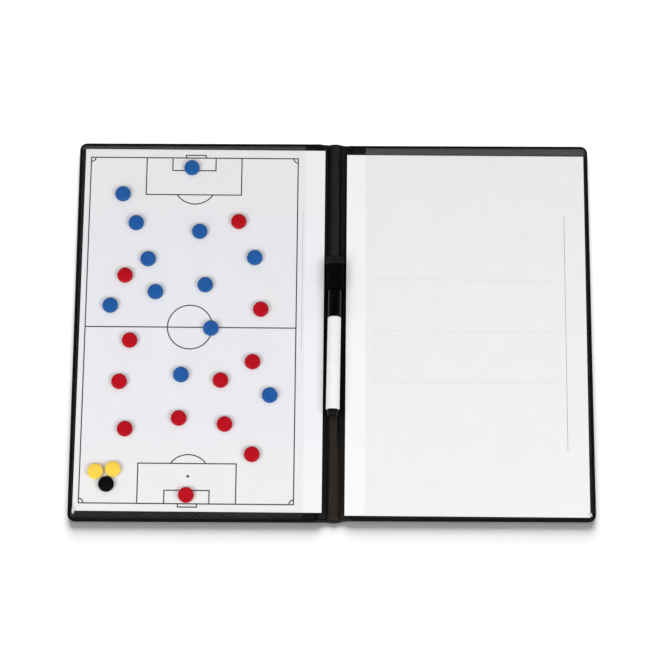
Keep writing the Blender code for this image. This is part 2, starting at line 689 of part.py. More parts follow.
def counter_mesh(name, kind):
    """A moulded counter: a rounded cap whose underside is recessed for the magnet's face."""
    profile = [(0.0, COUNTER_HEIGHT)]
    profile += arc(
        COUNTER_RADIUS - COUNTER_ROUNDING, COUNTER_HEIGHT - COUNTER_ROUNDING, COUNTER_ROUNDING, 90, 0, 3
    )
    inner = COUNTER_RADIUS - COUNTER_WALL
    profile += [(COUNTER_RADIUS, 0.0), (inner, 0.0), (inner, CORE_RECESS), (0.0, CORE_RECESS)]
    mesh = bpy.data.meshes.new(name)
    mesh.from_pydata([(radius, 0.0, height) for radius, height in profile],
                     [(k, k + 1) for k in range(len(profile) - 1)], [])
    mesh.materials.append(finish_for(name, kind))
    return mesh


def pitch_point(centre, share):
    """A place on the printed pitch, from its shares of the pitch's half width and half length."""
    turned = Matrix.Rotation(math.radians(LEFT_SHEET_TURN), 2) @ Vector(
        (pitch_side_shift + share[0] * pitch_width / 2, share[1] * pitch_length / 2)
    )
    return centre[0] + turned.x, centre[1] + turned.y


def add_counters(leaf, sheet_centre):
    """The counters, each its own object, lying on the left leaf's film as in play."""
    black = pitch_point(sheet_centre, BLACK_PLACE)
    yellow = [
        (black[0] + 2 * COUNTER_RADIUS * dx, black[1] + 2 * COUNTER_RADIUS * dy)
        for dx, dy in YELLOW_OFFSETS
    ]
    groups = (
        ("blue", COUNTER_BLUE, [pitch_point(sheet_centre, place) for place in BLUE_PLACES]),
        ("red", COUNTER_RED, [pitch_point(sheet_centre, place) for place in RED_PLACES]),
        ("yellow", COUNTER_YELLOW, yellow),
        ("black", COUNTER_BLACK, [black]),
    )
    for colour, kind, places in groups:
        mesh = counter_mesh("counter_" + colour, kind)
        for number, (x, y) in enumerate(places, 1):
            counter = bpy.data.objects.new(f"counter_{colour}_{number:02d}", mesh)
            parts.objects.link(counter)
            counter.parent = leaf.parent
            counter.location = Vector((x, y, counter_bottom)) - leaf.parent.location
            turn_round(counter, COUNTER_STEPS)


def build():
    left, sheet_centre = add_leaves()
    add_spine()
    add_loop()
    add_marker()
    add_counters(left, sheet_centre)
    print(f"spine centre {spine_x:.5f}, hinge offset {hinge_offset:.5f}, marker height {pen_height:.5f}")
    print(f"loop from {loop_near_y:.4f} to {loop_knee_y + LOOP_SKIRT:.4f} along the spine")


build()
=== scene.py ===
import math

import bmesh
import bpy
import numpy as np
from mathutils import Matrix, Vector


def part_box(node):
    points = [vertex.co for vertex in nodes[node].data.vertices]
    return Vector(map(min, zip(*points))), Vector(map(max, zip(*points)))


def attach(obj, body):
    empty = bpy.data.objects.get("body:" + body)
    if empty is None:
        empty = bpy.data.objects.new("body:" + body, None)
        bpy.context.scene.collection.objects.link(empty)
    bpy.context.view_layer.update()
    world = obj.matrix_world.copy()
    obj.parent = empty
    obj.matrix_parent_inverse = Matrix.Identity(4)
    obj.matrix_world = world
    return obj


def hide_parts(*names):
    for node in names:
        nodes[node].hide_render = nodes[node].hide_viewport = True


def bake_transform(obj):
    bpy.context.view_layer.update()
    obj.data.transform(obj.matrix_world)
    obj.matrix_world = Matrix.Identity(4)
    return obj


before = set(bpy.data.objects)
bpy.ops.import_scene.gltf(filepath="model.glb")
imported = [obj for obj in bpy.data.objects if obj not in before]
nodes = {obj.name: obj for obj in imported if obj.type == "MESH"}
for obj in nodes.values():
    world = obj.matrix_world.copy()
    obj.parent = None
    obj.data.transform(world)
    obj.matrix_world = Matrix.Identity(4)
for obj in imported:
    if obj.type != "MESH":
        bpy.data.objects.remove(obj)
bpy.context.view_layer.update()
print("frame loaded,", len(nodes), "nodes")

mm = 0.001  # every shape below is worked out in millimetres and put into its mesh in metres


# Shapes as grids of points

def smoothStep(share):
    # 0 up to 0, 1 from 1 on, and 3s^2 - 2s^3 between
    share = np.clip(share, 0.0, 1.0)
    return share * share * (3.0 - 2.0 * share)


def bell(distance, width):
    # exp(-(distance / width)^2)
    return np.exp(-((distance / width) ** 2))


def ripple(along, lengths, start):
    # sines of these wavelengths added, each half as strong as the one before, so it never quite repeats
    return sum(
        np.sin(2 * np.pi * along / length + start * (k + 1)) * 0.5 ** k for k, length in enumerate(lengths)
    )


def raised(wave):
    # brings -1 to 1 to 0 to 1
    return 0.5 + 0.5 * wave


def squaredArch(share, power):
    # (1 - |s|^p)^(1/p), and 0 past both feet
    return np.maximum(1 - np.abs(share) ** power, 0) ** (1 / power)


def travelled(points):
    # the distance travelled along a row of points, at each of them
    return np.concatenate([[0], np.cumsum(np.linalg.norm(np.diff(points, axis=0), axis=-1))])


def gridFaces(rows, columns, wrapRows=False, wrapColumns=False, start=0):
    # the quads of a grid counted row by row; a wrapped direction joins its last line to its first
    rowSteps = rows if wrapRows else rows - 1
    columnSteps = columns if wrapColumns else columns - 1
    row, column = np.meshgrid(np.arange(rowSteps), np.arange(columnSteps), indexing="ij")
    nextRow, nextColumn = (row + 1) % rows, (column + 1) % columns
    corners = [(row, column), (nextRow, column), (nextRow, nextColumn), (row, nextColumn)]
    quads = np.stack([y * columns + x for y, x in corners], axis=-1)
    return (quads.reshape(-1, 4) + start).tolist()


def slab(x, y, top, bottom):
    # two grids over the same x and y, one at each height, joined round their border
    rows, columns = x.shape
    points = np.concatenate([np.stack([x, y, z], -1).reshape(-1, 3) for z in (top, bottom)])
    index = np.arange(rows * columns).reshape(rows, columns)
    border = np.concatenate([index[0, :-1], index[:-1, -1], index[-1, :0:-1], index[:0:-1, 0]])
    nextOne = np.roll(border, -1)
    count = rows * columns
    sides = np.stack([border, nextOne, nextOne + count, border + count], -1).tolist()
    return points, gridFaces(rows, columns) + gridFaces(rows, columns, start=count) + sides


def swept(profile, steps, ring=False):
    # each (radius, height) of the profile swept round Z: (r cos a, r sin a, h) for even angles a
    radius, height = np.array(profile, dtype=float).T[..., None]
    angle = np.linspace(0, 2 * np.pi, steps, endpoint=False)
    points = np.stack([radius * np.cos(angle), radius * np.sin(angle), np.repeat(height, steps, axis=1)], -1)
    return points, gridFaces(len(profile), steps, wrapRows=ring, wrapColumns=True)


def rounding(centreRadius, centreHeight, radius, start, end, count):
    # points of an arc, in degrees up from the outward direction
    turn = np.radians(np.linspace(start, end, count))
    return list(zip(centreRadius + radius * np.cos(turn), centreHeight + radius * np.sin(turn)))


def newPiece(name, points, faces, materials, body=None, uv=None, masks=None, sharp=38):
    mesh = bpy.data.meshes.new(name)
    mesh.from_pydata((np.asarray(points).reshape(-1, 3) * mm).tolist(), [], faces)
    if uv is not None:
        corners = np.empty(len(mesh.loops), dtype=np.int32)
        mesh.loops.foreach_get("vertex_index", corners)
        mesh.uv_layers.new(name="surface").data.foreach_set("uv", uv.reshape(-1, 2)[corners].ravel())
    for key, values in (masks or {}).items():
        mesh.attributes.new(key, "FLOAT", "POINT").data.foreach_set("value", np.ravel(values).astype(float))
    form = bmesh.new()
    form.from_mesh(mesh)
    bmesh.ops.remove_doubles(form, verts=form.verts, dist=2e-6)
    bmesh.ops.recalc_face_normals(form, faces=form.faces)
    form.to_mesh(mesh)
    form.free()
    mesh.shade_smooth()
    mesh.set_sharp_from_angle(angle=math.radians(sharp))
    piece = bpy.data.objects.new(name, mesh)
    bpy.context.scene.collection.objects.link(piece)
    for material in materials:
        mesh.materials.append(material)
    if body:
        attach(piece, body)
    return piece


# Shader nodes

def isLinked(value):
    return isinstance(value, bpy.types.NodeSocket)


def connect(node, inputs):
    # each input takes a plain value or another node's output
    for socket, value in inputs.items():
        if isLinked(value):
            node.id_data.links.new(value, node.inputs[socket])
        else:
            node.inputs[socket].default_value = value
    return node


def addNode(kind, inputs, tree=None, **settings):
    # a node in the tree of its first linked input, or in the given one where it has none
    tree = tree or next(value.id_data for value in inputs.values() if isLinked(value))
    node = tree.nodes.new("ShaderNode" + kind)
    for key, value in settings.items():
        setattr(node, key, value)
    return connect(node, inputs)


def calc(operation, first, second=0.0, clamp=False):
    return addNode("Math", {0: first, 1: second}, operation=operation, use_clamp=clamp).outputs[0]


def times(first, second, clamp=False):
    return calc("MULTIPLY", first, second, clamp)


def vectorCalc(operation, first, others=None):
    return addNode("VectorMath", {0: first, **(others or {})}, operation=operation).outputs[0]


def part(vector, axis):
    return addNode("SeparateXYZ", {0: vector}).outputs[axis]


def blendColour(factor, first, second):
    # from the first colour to the second; a colour is red, green and blue, or a node's output
    ends = [(*colour, 1) if isinstance(colour, tuple) else colour for colour in (first, second)]
    return addNode("Mix", {0: factor, 6: ends[0], 7: ends[1]}, data_type="RGBA").outputs[2]


def spread(value, low, high):
    # brings a 0 to 1 value to low to high
    return addNode("MapRange", {0: value, 3: low, 4: high}).outputs[0]


def stepBetween(value, low, high):
    # 0 up to low, 1 from high on, and a smooth step between
    return addNode("MapRange", {0: value, 1: low, 2: high}, interpolation_type="SMOOTHSTEP").outputs[0]


def painted(tree, name):
    # a mask that the mesh carries at its points
    return addNode("Attribute", {}, tree, attribute_name=name).outputs["Fac"]


def facingAway(tree):
    # 0 where a surface is looked at straight, towards 1 where it turns away
    return addNode("LayerWeight", {"Blend": 0.5}, tree).outputs["Facing"]


def newGroup(name, output, settings, fill):
    # a group with a Vector and these settings, None for one more vector, and the value that fill works out
    tree = bpy.data.node_groups.new(name, "ShaderNodeTree")
    for label, value in {"Vector": None, **settings}.items():
        kind = "NodeSocketVector" if value is None else "NodeSocketFloat"
        socket = tree.interface.new_socket(label, in_out="INPUT", socket_type=kind)
        if value is not None:
            socket.default_value = value
    tree.interface.new_socket(output, in_out="OUTPUT", socket_type="NodeSocketFloat")
    given = tree.nodes.new("NodeGroupInput").outputs
    tree.links.new(fill(given), tree.nodes.new("NodeGroupOutput").inputs[output])
    return tree


def useGroup(group, place, **settings):
    return addNode("Group", {"Vector": place, **settings}, node_tree=group).outputs[0]


def inCells(given):
    # the place counted in cells of the given size in mm
    return vectorCalc("SCALE", given["Vector"], {"Scale": calc("DIVIDE", 1 / mm, given["Size"])})


def pebbles(given):
    # embossed vinyl grain: soft cells of the given size, over a finer noise
    scaled = inCells(given)
    cells = addNode("TexVoronoi", {"Vector": scaled, "Scale": 1.0, "Smoothness": 0.6}, feature="SMOOTH_F1")
    fine = addNode("TexNoise", {"Vector": scaled, "Scale": 2.4, "Detail": 2.0})
    return calc("ADD", times(cells.outputs["Distance"], 0.8), times(fine.outputs[0], 0.25))


def clouds(given):
    # cloudy patches of the given size, spread to the whole 0 to 1 range
    cloud = addNode("TexNoise", {"Vector": inCells(given), "Scale": 1.0, "Detail": given["Detail"]})
    return stepBetween(cloud.outputs[0], 0.32, 0.68)


def specks(given):
    # a few small specks: the centres of cells of the given size, of which Amount is the share that has one
    cells = addNode("TexVoronoi", {"Vector": inCells(given), "Scale": 1.0}).outputs
    chance = addNode("SeparateColor", {0: cells["Color"]}).outputs[0]
    speck = calc("LESS_THAN", cells["Distance"], 0.06)
    return times(speck, calc("LESS_THAN", chance, given["Amount"]))


def nearLine(distance, given):
    # within half a line of zero
    return calc("LESS_THAN", calc("ABSOLUTE", distance), times(given["Line"], 0.5))


def ruledBox(given):
    # a ruled rectangle round Centre, or a straight line where one half size is 0: the larger of the two
    # distances past the half sizes is near zero
    away = vectorCalc("ABSOLUTE", vectorCalc("SUBTRACT", given["Vector"], {1: given["Centre"]}))
    past = addNode("SeparateXYZ", {0: vectorCalc("SUBTRACT", away, {1: given["Half"]})}).outputs
    return nearLine(calc("MAXIMUM", past[0], past[1]), given)


def ruledRing(given):
    # a ruled circle round Centre, drawn only past Limit towards Side; at radius 0 it is a dot as wide as Line
    away = vectorCalc("SUBTRACT", given["Vector"], {1: given["Centre"]})
    flat = vectorCalc("MULTIPLY", away, {1: (1.0, 1.0, 0.0)})
    length = addNode("VectorMath", {0: flat}, operation="LENGTH").outputs["Value"]
    ring = nearLine(calc("SUBTRACT", length, given["Radius"]), given)
    beyond = times(calc("SUBTRACT", part(given["Vector"], 1), given["Limit"]), given["Side"])
    return times(ring, calc("GREATER_THAN", beyond, 0.0))


def arches(count):
    # |sin(count pi)|: one arch for each whole number
    return calc("ABSOLUTE", calc("SINE", times(count, math.pi)))


def webbing(given):
    # elastic webbing: ribs along U, crossed by threads that shift by half a step from rib to rib
    row = calc("DIVIDE", part(given["Vector"], 1), given["Rib"])
    shift = times(calc("FLOOR", row), 0.5)
    column = calc("ADD", calc("DIVIDE", part(given["Vector"], 0), given["Thread"]), shift)
    return times(arches(row), spread(arches(column), 0.45, 1.0))


pebbleGrain = newGroup("pebbleGrain", "Height", {"Size": 0.5}, pebbles)
softPatches = newGroup("softPatches", "Mask", {"Size": 20.0, "Detail": 3.0}, clouds)
dust = newGroup("dust", "Mask", {"Size": 3.0, "Amount": 0.5}, specks)
boxLine = newGroup("boxLine", "Mask", {"Centre": None, "Half": None, "Line": 1.1}, ruledBox)
ringLine = newGroup("ringLine", "Mask", {
    "Centre": None, "Radius": 20.0, "Line": 1.1, "Limit": -1000.0, "Side": 1.0
}, ruledRing)
wovenRibs = newGroup("wovenRibs", "Height", {"Rib": 0.9, "Thread": 0.6}, webbing)
print("node groups made")


# Materials

def newMaterial(name, settings=None):
    # a material, its tree, its Principled shader with these plain values, and the object's own coordinates
    material = bpy.data.materials.new(name)
    material.use_nodes = True
    tree = material.node_tree
    shader = connect(tree.nodes["Principled BSDF"], settings or {})
    return material, tree, shader, addNode("TexCoord", {}, tree).outputs["Object"]


def setSurface(shader, inputs, height, depth):
    # the shader's inputs that vary over the surface, and a bump of this depth in mm
    bump = addNode("Bump", {"Height": height, "Distance": depth * mm, "Strength": 1.0})
    connect(shader, {**inputs, "Normal": bump.outputs[0]})


# fold is the colour of painted shade, in folds and in places in shadow
vinylWear = {
    "mottleSize": 3.0, "mottle": (0.65, 1.0), "speckSize": 5.0, "speckAmount": 0.25, "speckCover": 0.05,
    "speck": (0.12, 0.115, 0.11), "fold": (0.001,) * 3, "rubbedDull": 0.08,
}


def makeVinyl(name, look):
    # a raised place is lightened, partly as wear and partly as a painted highlight; warm turns it brown; and
    # a fold or a place in shadow is darkened and dulled, as painted shade
    material, tree, shader, place = newMaterial(name)
    worn, warm, creased = (painted(tree, key) for key in ("worn", "warm", "creased"))
    grain = useGroup(pebbleGrain, place, Size=look["grain"])
    patches = useGroup(softPatches, place, Size=look["patch"])
    mottle = spread(useGroup(softPatches, place, Size=vinylWear["mottleSize"]), *vinylWear["mottle"])
    dusty = useGroup(dust, place, Size=vinylWear["speckSize"], Amount=vinylWear["speckAmount"])
    scuff = blendColour(warm, look["scuff"], look["brown"])
    shade = blendColour(patches, look["dark"], look["light"])
    # raised places lighten, partly as wear and partly as a painted highlight
    shade = blendColour(times(worn, mottle), shade, scuff)
    shade = blendColour(times(dusty, vinylWear["speckCover"]), shade, vinylWear["speck"])
    # painted shade: folds and places in shadow are darkened towards the fold colour
    shade = blendColour(creased, shade, vinylWear["fold"])
    rough = calc("ADD", spread(patches, *look["rough"]), times(worn, vinylWear["rubbedDull"]))
    specular = spread(creased, look["specular"], 0.0)
    varied = {"Base Color": shade, "Roughness": rough, "Specular IOR Level": specular}
    setSurface(shader, varied, grain, look["depth"])
    return material


vinylLooks = {
    "coverVinyl": {"dark": (0.0019, 0.0019, 0.0020), "light": (0.0025, 0.0025, 0.0027), "scuff": (0.005,) * 3,
                   "brown": (0.005,) * 3, "specular": 0.04, "rough": (0.42, 0.46),
                   "grain": 0.5, "patch": 30.0, "depth": 0.003},
    "spineVinyl": {"dark": (0.0048, 0.0044, 0.0042), "light": (0.0078, 0.0070, 0.0064),
                   "scuff": (0.0185, 0.0178, 0.0170), "brown": (0.0265, 0.0208, 0.0164), "specular": 0.05,
                   "rough": (0.34, 0.46), "grain": 0.4, "patch": 14.0, "depth": 0.010},
    "liningVinyl": {"dark": (0.0050, 0.0047, 0.0046), "light": (0.0085, 0.0079, 0.0074), "scuff": (0.03,) * 3,
                    "brown": (0.03,) * 3, "specular": 0.06, "rough": (0.40, 0.50),
                    "grain": 0.35, "patch": 22.0, "depth": 0.008},
}
vinyls = {name: makeVinyl(name, look) for name, look in vinylLooks.items()}


filmLook = {
    "tint": (0.36, 0.36, 0.37), "hazeTint": (1.0, 0.88, 0.76), "curlTint": (0.93, 0.93, 0.93),
    "whitening": 2.2, "curlWhitening": 3.0, "haze": (0.0, 0.006), "smudge": 28.0,
    "mirror": 0.8, "straight": 0.035, "grazing": 5.0, "bounce": 0.55,
    "rough": (0.11, 0.20), "weldRough": 0.5, "waveSize": 9.0, "depth": 0.03,
}


def makeFilm(look):
    # clear film: nearly all see-through from above, more of a mirror the flatter it is looked at; a mask
    # whitens it, as a painted sheen past the sheet's top end and along the welds, and at the curls partly as
    # whitened film and partly as a painted highlight; where it is welded it is dull
    material, tree, shader, place = newMaterial("clearFilm", {"IOR": 1.45})
    smudges = useGroup(softPatches, place, Size=look["smudge"], Detail=5.0)
    milky = painted(tree, "milky")
    smooth = spread(painted(tree, "welded"), 1.0, 0.0)
    cloudy = blendColour(times(milky, look["curlWhitening"], True), look["hazeTint"], look["curlTint"])
    shade = blendColour(times(milky, look["whitening"], True), look["tint"], cloudy)
    # what a surface throws back, the same from both its sides: straight + (1 - straight) (1 - cos)^grazing
    facing = facingAway(tree)
    bounce = spread(calc("POWER", facing, look["grazing"]), look["straight"], 1.0)
    bounce = times(bounce, times(smooth, look["bounce"]))
    cover = calc("ADD", bounce, spread(smudges, *look["haze"]))
    rough = calc("ADD", spread(smudges, *look["rough"]), spread(smooth, look["weldRough"], 0.0))
    waves = useGroup(softPatches, place, Size=look["waveSize"], Detail=1.0)
    setSurface(shader, {
        "Base Color": shade, "Metallic": times(smooth, look["mirror"]), "Roughness": rough,
        "Alpha": calc("ADD", cover, milky, clamp=True)
    }, waves, look["depth"])
    return material


clearFilm = makeFilm(filmLook)


def sheetPlace(place, node, turn):
    # millimetres from the sheet's centre, along its own edges
    low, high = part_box(node)
    turned = {"Location": tuple((low + high) / 2), "Rotation": (0, 0, math.radians(turn)), "Scale": (mm,) * 3}
    return addNode("Mapping", {"Vector": place, **turned}, vector_type="TEXTURE").outputs[0]


def middleAndHalf(corners):
    # centre and half size of a rectangle, or of a straight line, from two corners
    (left, bottom), (right, top) = corners
    return ((left + right) / 2, (bottom + top) / 2, 0), (abs(right - left) / 2, abs(top - bottom) / 2, 1000)


def ruled(on, corners, line):
    centre, half = middleAndHalf(corners)
    return useGroup(boxLine, on, Centre=centre, Half=half, Line=line)


def ringed(on, line, centre, radius, limit=-1000.0, side=1.0):
    return useGroup(ringLine, on, Line=line, Centre=(*centre, 0), Radius=radius, Limit=limit, Side=side)


paperLook = {"patch": 60.0, "patchy": 0.4, "warming": (70.0, 150.0), "fibrous": 0.03, "fibre": (0.6,) * 3,
             "depth": 0.01}


def makeSheet(name, look, drawMarks):
    # printed paper: faint fibres, a slow change of tone that turns warmer towards both ends, and marks in ink
    material, tree, shader, place = newMaterial(name, {"Specular IOR Level": 0.35, "Roughness": 0.5})
    on = sheetPlace(place, look["node"], look["turn"])
    patches = useGroup(softPatches, place, Size=paperLook["patch"])
    fibres = addNode("TexNoise", {"Vector": place, "Scale": 3500.0, "Detail": 4.0}).outputs[0]
    nearEnd = stepBetween(calc("ABSOLUTE", part(on, 1)), *paperLook["warming"])
    warmth = calc("MAXIMUM", times(patches, paperLook["patchy"]), nearEnd)
    paper = blendColour(warmth, look["cool"], look["warm"])
    paper = blendColour(spread(fibres, 0.0, paperLook["fibrous"]), paper, paperLook["fibre"])
    upward = calc("GREATER_THAN", part(addNode("NewGeometry", {}, tree).outputs["Normal"], 2), 0.5)
    for strength, masks in drawMarks(on, look):
        drawn = masks[0]
        for mask in masks[1:]:
            drawn = calc("MAXIMUM", drawn, mask)
        paper = blendColour(times(times(drawn, upward), strength), paper, look["ink"])
    setSurface(shader, {"Base Color": paper}, fibres, paperLook["depth"])
    return material


pitchSheet = {
    "node": "left_insert", "turn": -0.25, "cool": (0.845, 0.848, 0.889), "warm": (0.862, 0.859, 0.867),
    "ink": (0.035, 0.035, 0.04), "line": 1.1,
    "pitch": ((-103.0, -158.15), (83.6, 157.25)), "halfway": ((-103.0, -0.3), (83.6, -0.3)),
    "boxes": [
        ((-52.7, 122.5), (32.9, 157.2)), ((-29.4, 145.3), (9.5, 157.2)), ((-17.4, 157.2), (0.4, 159.8)),
        ((-52.4, -158.2), (33.3, -122.7)), ((-29.0, -158.2), (10.2, -146.4)),
        ((-17.0, -161.05), (-0.5, -158.2)),
    ],
    # a ring's centre and radius, then for an arc the height that ends it and the side that is drawn
    "rings": [((-10.2, -0.1), 19.9), ((-8.6, 133.0), 19.2, 122.5, -1), ((-8.6, -134.0), 19.2, -122.7, 1)],
    "spot": ((-8.6, -134.0), 2.5), "cornerArc": 4.0, "rule": ((88.6, -20.6), (88.6, 108.6)), "ruleLine": 0.3,
    "strength": 1.0, "ruleStrength": 0.6,
}


def drawPitch(on, look):
    line = look["line"]
    marks = [ruled(on, corners, line) for corners in look["boxes"] + [look["pitch"], look["halfway"]]]
    marks += [ringed(on, line, *ring) for ring in look["rings"]]
    centre, across = look["spot"]
    marks.append(ringed(on, across, centre, 0.0))
    # the four corner arcs are one arc, on coordinates folded about the pitch's centre
    centre, half = middleAndHalf(look["pitch"])
    folded = vectorCalc("ABSOLUTE", vectorCalc("SUBTRACT", on, {1: centre}))
    arc = ringed(folded, line, half[:2], look["cornerArc"], half[1], -1.0)
    marks.append(times(arc, calc("LESS_THAN", part(folded, 0), half[0])))
    return [(look["strength"], marks), (look["ruleStrength"], [ruled(on, look["rule"], look["ruleLine"])])]


plainSheet = {
    "node": "right_insert", "turn": -0.21, "cool": (0.892, 0.889, 0.888), "warm": (0.890, 0.887, 0.886),
    "ink": (0.03, 0.03, 0.035), "line": 1.0,
    "court": ((-81.1, -137.3), (76.2, 138.8)),
    "keys": [((-24.0, 85.0), (15.5, 138.8)), ((-24.0, -137.3), (15.5, -86.0))],
    "rings": [((-4.6, -0.8), 22.9), ((-4.4, 124.5), 67.0, 138.8, -1), ((-4.4, -126.0), 67.0, -137.3, 1)],
    "crossings": [48.2, 0.9, -45.6], "rule": ((88.0, -105.6), (88.0, 108.5)),
    "keyLine": 0.8, "crossLine": 1.1, "ruleLine": 0.35,
    "strength": 0.035, "crossStrength": 0.06, "ruleStrength": 0.9,
}


def drawCourt(on, look):
    (left, _), (right, _) = look["court"]
    marks = [ruled(on, look["court"], look["line"])]
    marks += [ruled(on, key, look["keyLine"]) for key in look["keys"]]
    marks += [ringed(on, look["line"], *ring) for ring in look["rings"]]
    across = [ruled(on, ((left, height), (right, height)), look["crossLine"]) for height in look["crossings"]]
    rule = ruled(on, look["rule"], look["ruleLine"])
    return [(look["ruleStrength"], [rule]), (look["strength"], marks), (look["crossStrength"], across)]


leftPaper = makeSheet("leftPaper", pitchSheet, drawPitch)
rightPaper = makeSheet("rightPaper", plainSheet, drawCourt)


elasticLook = {
    "rib": 0.95, "thread": 0.7, "valley": (0.0006, 0.0006, 0.0007), "ridge": (0.0018, 0.0018, 0.0020),
    "stretched": (0.027, 0.026, 0.026), "hemCover": (0.35, 1.0), "rough": (0.65, 0.85), "fuzz": 0.3,
    "depth": 0.14,
}


def makeElastic(look):
    # black elastic webbing, its weave's valleys painted darker as shade and its hem painted paler, as the
    # light its slope catches; its UV runs round and along the marker, in mm
    material, tree, shader, place = newMaterial("elasticBand", {"Specular IOR Level": 0.02})
    along = addNode("TexCoord", {}, tree).outputs["UV"]
    weave = useGroup(wovenRibs, along, Rib=look["rib"], Thread=look["thread"])
    fuzz = addNode("TexNoise", {"Vector": place, "Scale": 2600.0, "Detail": 3.0}).outputs[0]
    # painted light on the hem and painted shade in the weave's valleys
    litHemMask = times(painted(tree, "hem"), spread(weave, *look["hemCover"]))
    shade = blendColour(litHemMask, blendColour(weave, look["valley"], look["ridge"]), look["stretched"])
    rough = spread(fuzz, *look["rough"])
    height = calc("ADD", weave, times(fuzz, look["fuzz"]))
    setSurface(shader, {"Base Color": shade, "Roughness": rough}, height, look["depth"])
    return material


elasticBand = makeElastic(elasticLook)


def makePlastic(name, look):
    # moulded plastic: a fine orange-peel skin, faint patches and specks; it mirrors more where it turns away
    material, tree, shader, place = newMaterial(name)
    facing = facingAway(tree)
    patches = useGroup(softPatches, place, Size=look["patch"])
    marks = useGroup(dust, place, Size=2.2, Amount=0.18)
    shade = blendColour(patches, look["dark"], look["light"])
    shade = blendColour(times(marks, look["specks"]), shade, (0.35, 0.34, 0.33))
    setSurface(shader, {
        "Base Color": shade, "Roughness": spread(patches, *look["rough"]),
        "Specular IOR Level": spread(times(facing, facing), *look["mirror"])
    }, useGroup(pebbleGrain, place, Size=look["grain"]), look["depth"])
    return material


counterFinish = {"mirror": (0.08, 0.35), "rough": (0.34, 0.44), "grain": 0.45, "patch": 6.0, "depth": 0.02,
                 "specks": 0.1}
plasticLooks = {
    "capBlack": {"dark": (0.0009,) * 3, "light": (0.0018,) * 3, "mirror": (0.012, 0.42),
                 "rough": (0.10, 0.18), "grain": 1.4, "patch": 9.0, "depth": 0.006, "specks": 0.03},
    "plugBlack": {"dark": (0.0010, 0.0010, 0.0012), "light": (0.014, 0.014, 0.0145), "mirror": (0.03, 0.4),
                  "rough": (0.18, 0.34), "grain": 0.9, "patch": 2.2, "depth": 0.02, "specks": 0.05},
    "barrelWhite": {"dark": (0.855, 0.855, 0.84), "light": (0.88, 0.88, 0.865), "mirror": (0.4, 0.6),
                    "rough": (0.22, 0.30), "grain": 1.6, "patch": 16.0, "depth": 0.008, "specks": 0.03},
    "counterBlue": {**counterFinish, "dark": (0.013, 0.094, 0.32), "light": (0.016, 0.104, 0.355)},
    "counterRed": {**counterFinish, "dark": (0.43, 0.003, 0.009), "light": (0.475, 0.004, 0.012)},
    "counterYellow": {**counterFinish, "dark": (0.92, 0.61, 0.070), "light": (0.95, 0.66, 0.090),
                      "specks": 0.08},
    "counterBlack": {**counterFinish, "dark": (0.0008, 0.0008, 0.0010), "light": (0.0014, 0.0014, 0.0018),
                     "mirror": (0.05, 0.3), "rough": (0.32, 0.42)},
    "ferrite": {"dark": (0.035, 0.034, 0.034), "light": (0.055, 0.054, 0.053), "mirror": (0.5, 0.5),
                "rough": (0.6, 0.75), "grain": 0.25, "patch": 2.0, "depth": 0.02, "specks": 0.2},
}
plastics = {name: makePlastic(name, look) for name, look in plasticLooks.items()}


def makeFibrous(name, look):
    # board, felt or wadding: tangled fibres, from noise drawn out one way
    material, _, shader, place = newMaterial(name, {"Specular IOR Level": 0.2, "Roughness": look["rough"]})
    drawn = addNode("Mapping", {"Vector": place, "Scale": look["draw"]}).outputs[0]
    fibres = addNode("TexNoise", {"Vector": drawn, "Scale": look["scale"], "Detail": 6.0, "Distortion": 0.8})
    fibres = fibres.outputs[0]
    flecks = useGroup(softPatches, place, Size=look["fleck"], Detail=4.0)
    shade = blendColour(fibres, look["dark"], look["light"])
    shade = blendColour(times(flecks, 0.25), shade, look["flecks"])
    setSurface(shader, {"Base Color": shade}, fibres, look["depth"])
    return material


fibreLooks = {
    "greyboard": {"dark": (0.22, 0.20, 0.18), "light": (0.38, 0.36, 0.32), "flecks": (0.12, 0.11, 0.10),
                  "rough": 0.9, "draw": (1.0, 1.0, 3.0), "scale": 900.0, "fleck": 1.2, "depth": 0.06},
    "nibFelt": {"dark": (0.006,) * 3, "light": (0.025,) * 3, "flecks": (0.04,) * 3, "rough": 0.95,
                "draw": (1.0, 0.15, 1.0), "scale": 5000.0, "fleck": 0.6, "depth": 0.05},
    "inkWadding": {"dark": (0.05,) * 3, "light": (0.30, 0.29, 0.28), "flecks": (0.6, 0.58, 0.55),
                   "rough": 0.9, "draw": (1.0, 0.1, 1.0), "scale": 3000.0, "fleck": 3.0, "depth": 0.08},
}
fibrous = {name: makeFibrous(name, look) for name, look in fibreLooks.items()}


def makeSteel():
    # tinned steel sheet: brushed along the leaf, with faint clouding
    material, _, shader, place = newMaterial("tinnedSteel", {"Metallic": 1.0})
    drawn = addNode("Mapping", {"Vector": place, "Scale": (60.0, 1.0, 60.0)}).outputs[0]
    brushed = addNode("TexNoise", {"Vector": drawn, "Scale": 60.0, "Detail": 5.0}).outputs[0]
    clouded = useGroup(softPatches, place, Size=18.0)
    shade = blendColour(clouded, (0.50, 0.51, 0.53), (0.60, 0.61, 0.62))
    setSurface(shader, {"Base Color": shade, "Roughness": spread(brushed, 0.28, 0.48)}, brushed, 0.01)
    return material


tinnedSteel = makeSteel()
print("materials made")


def dress(material, *names):
    # a CAD node whose shape is right keeps it and takes a material
    for name in names:
        nodes[name].data.materials.clear()
        nodes[name].data.materials.append(material)


dress(vinyls["liningVinyl"], "left_lining", "right_lining")
dress(fibrous["greyboard"], "left_board", "right_board", "spine_board")
dress(tinnedSteel, "left_steel_sheet")
dress(leftPaper, "left_insert")
dress(rightPaper, "right_insert")
dress(fibrous["inkWadding"], "pen_reservoir")
print("CAD nodes dressed")


# The leaves' outer skins

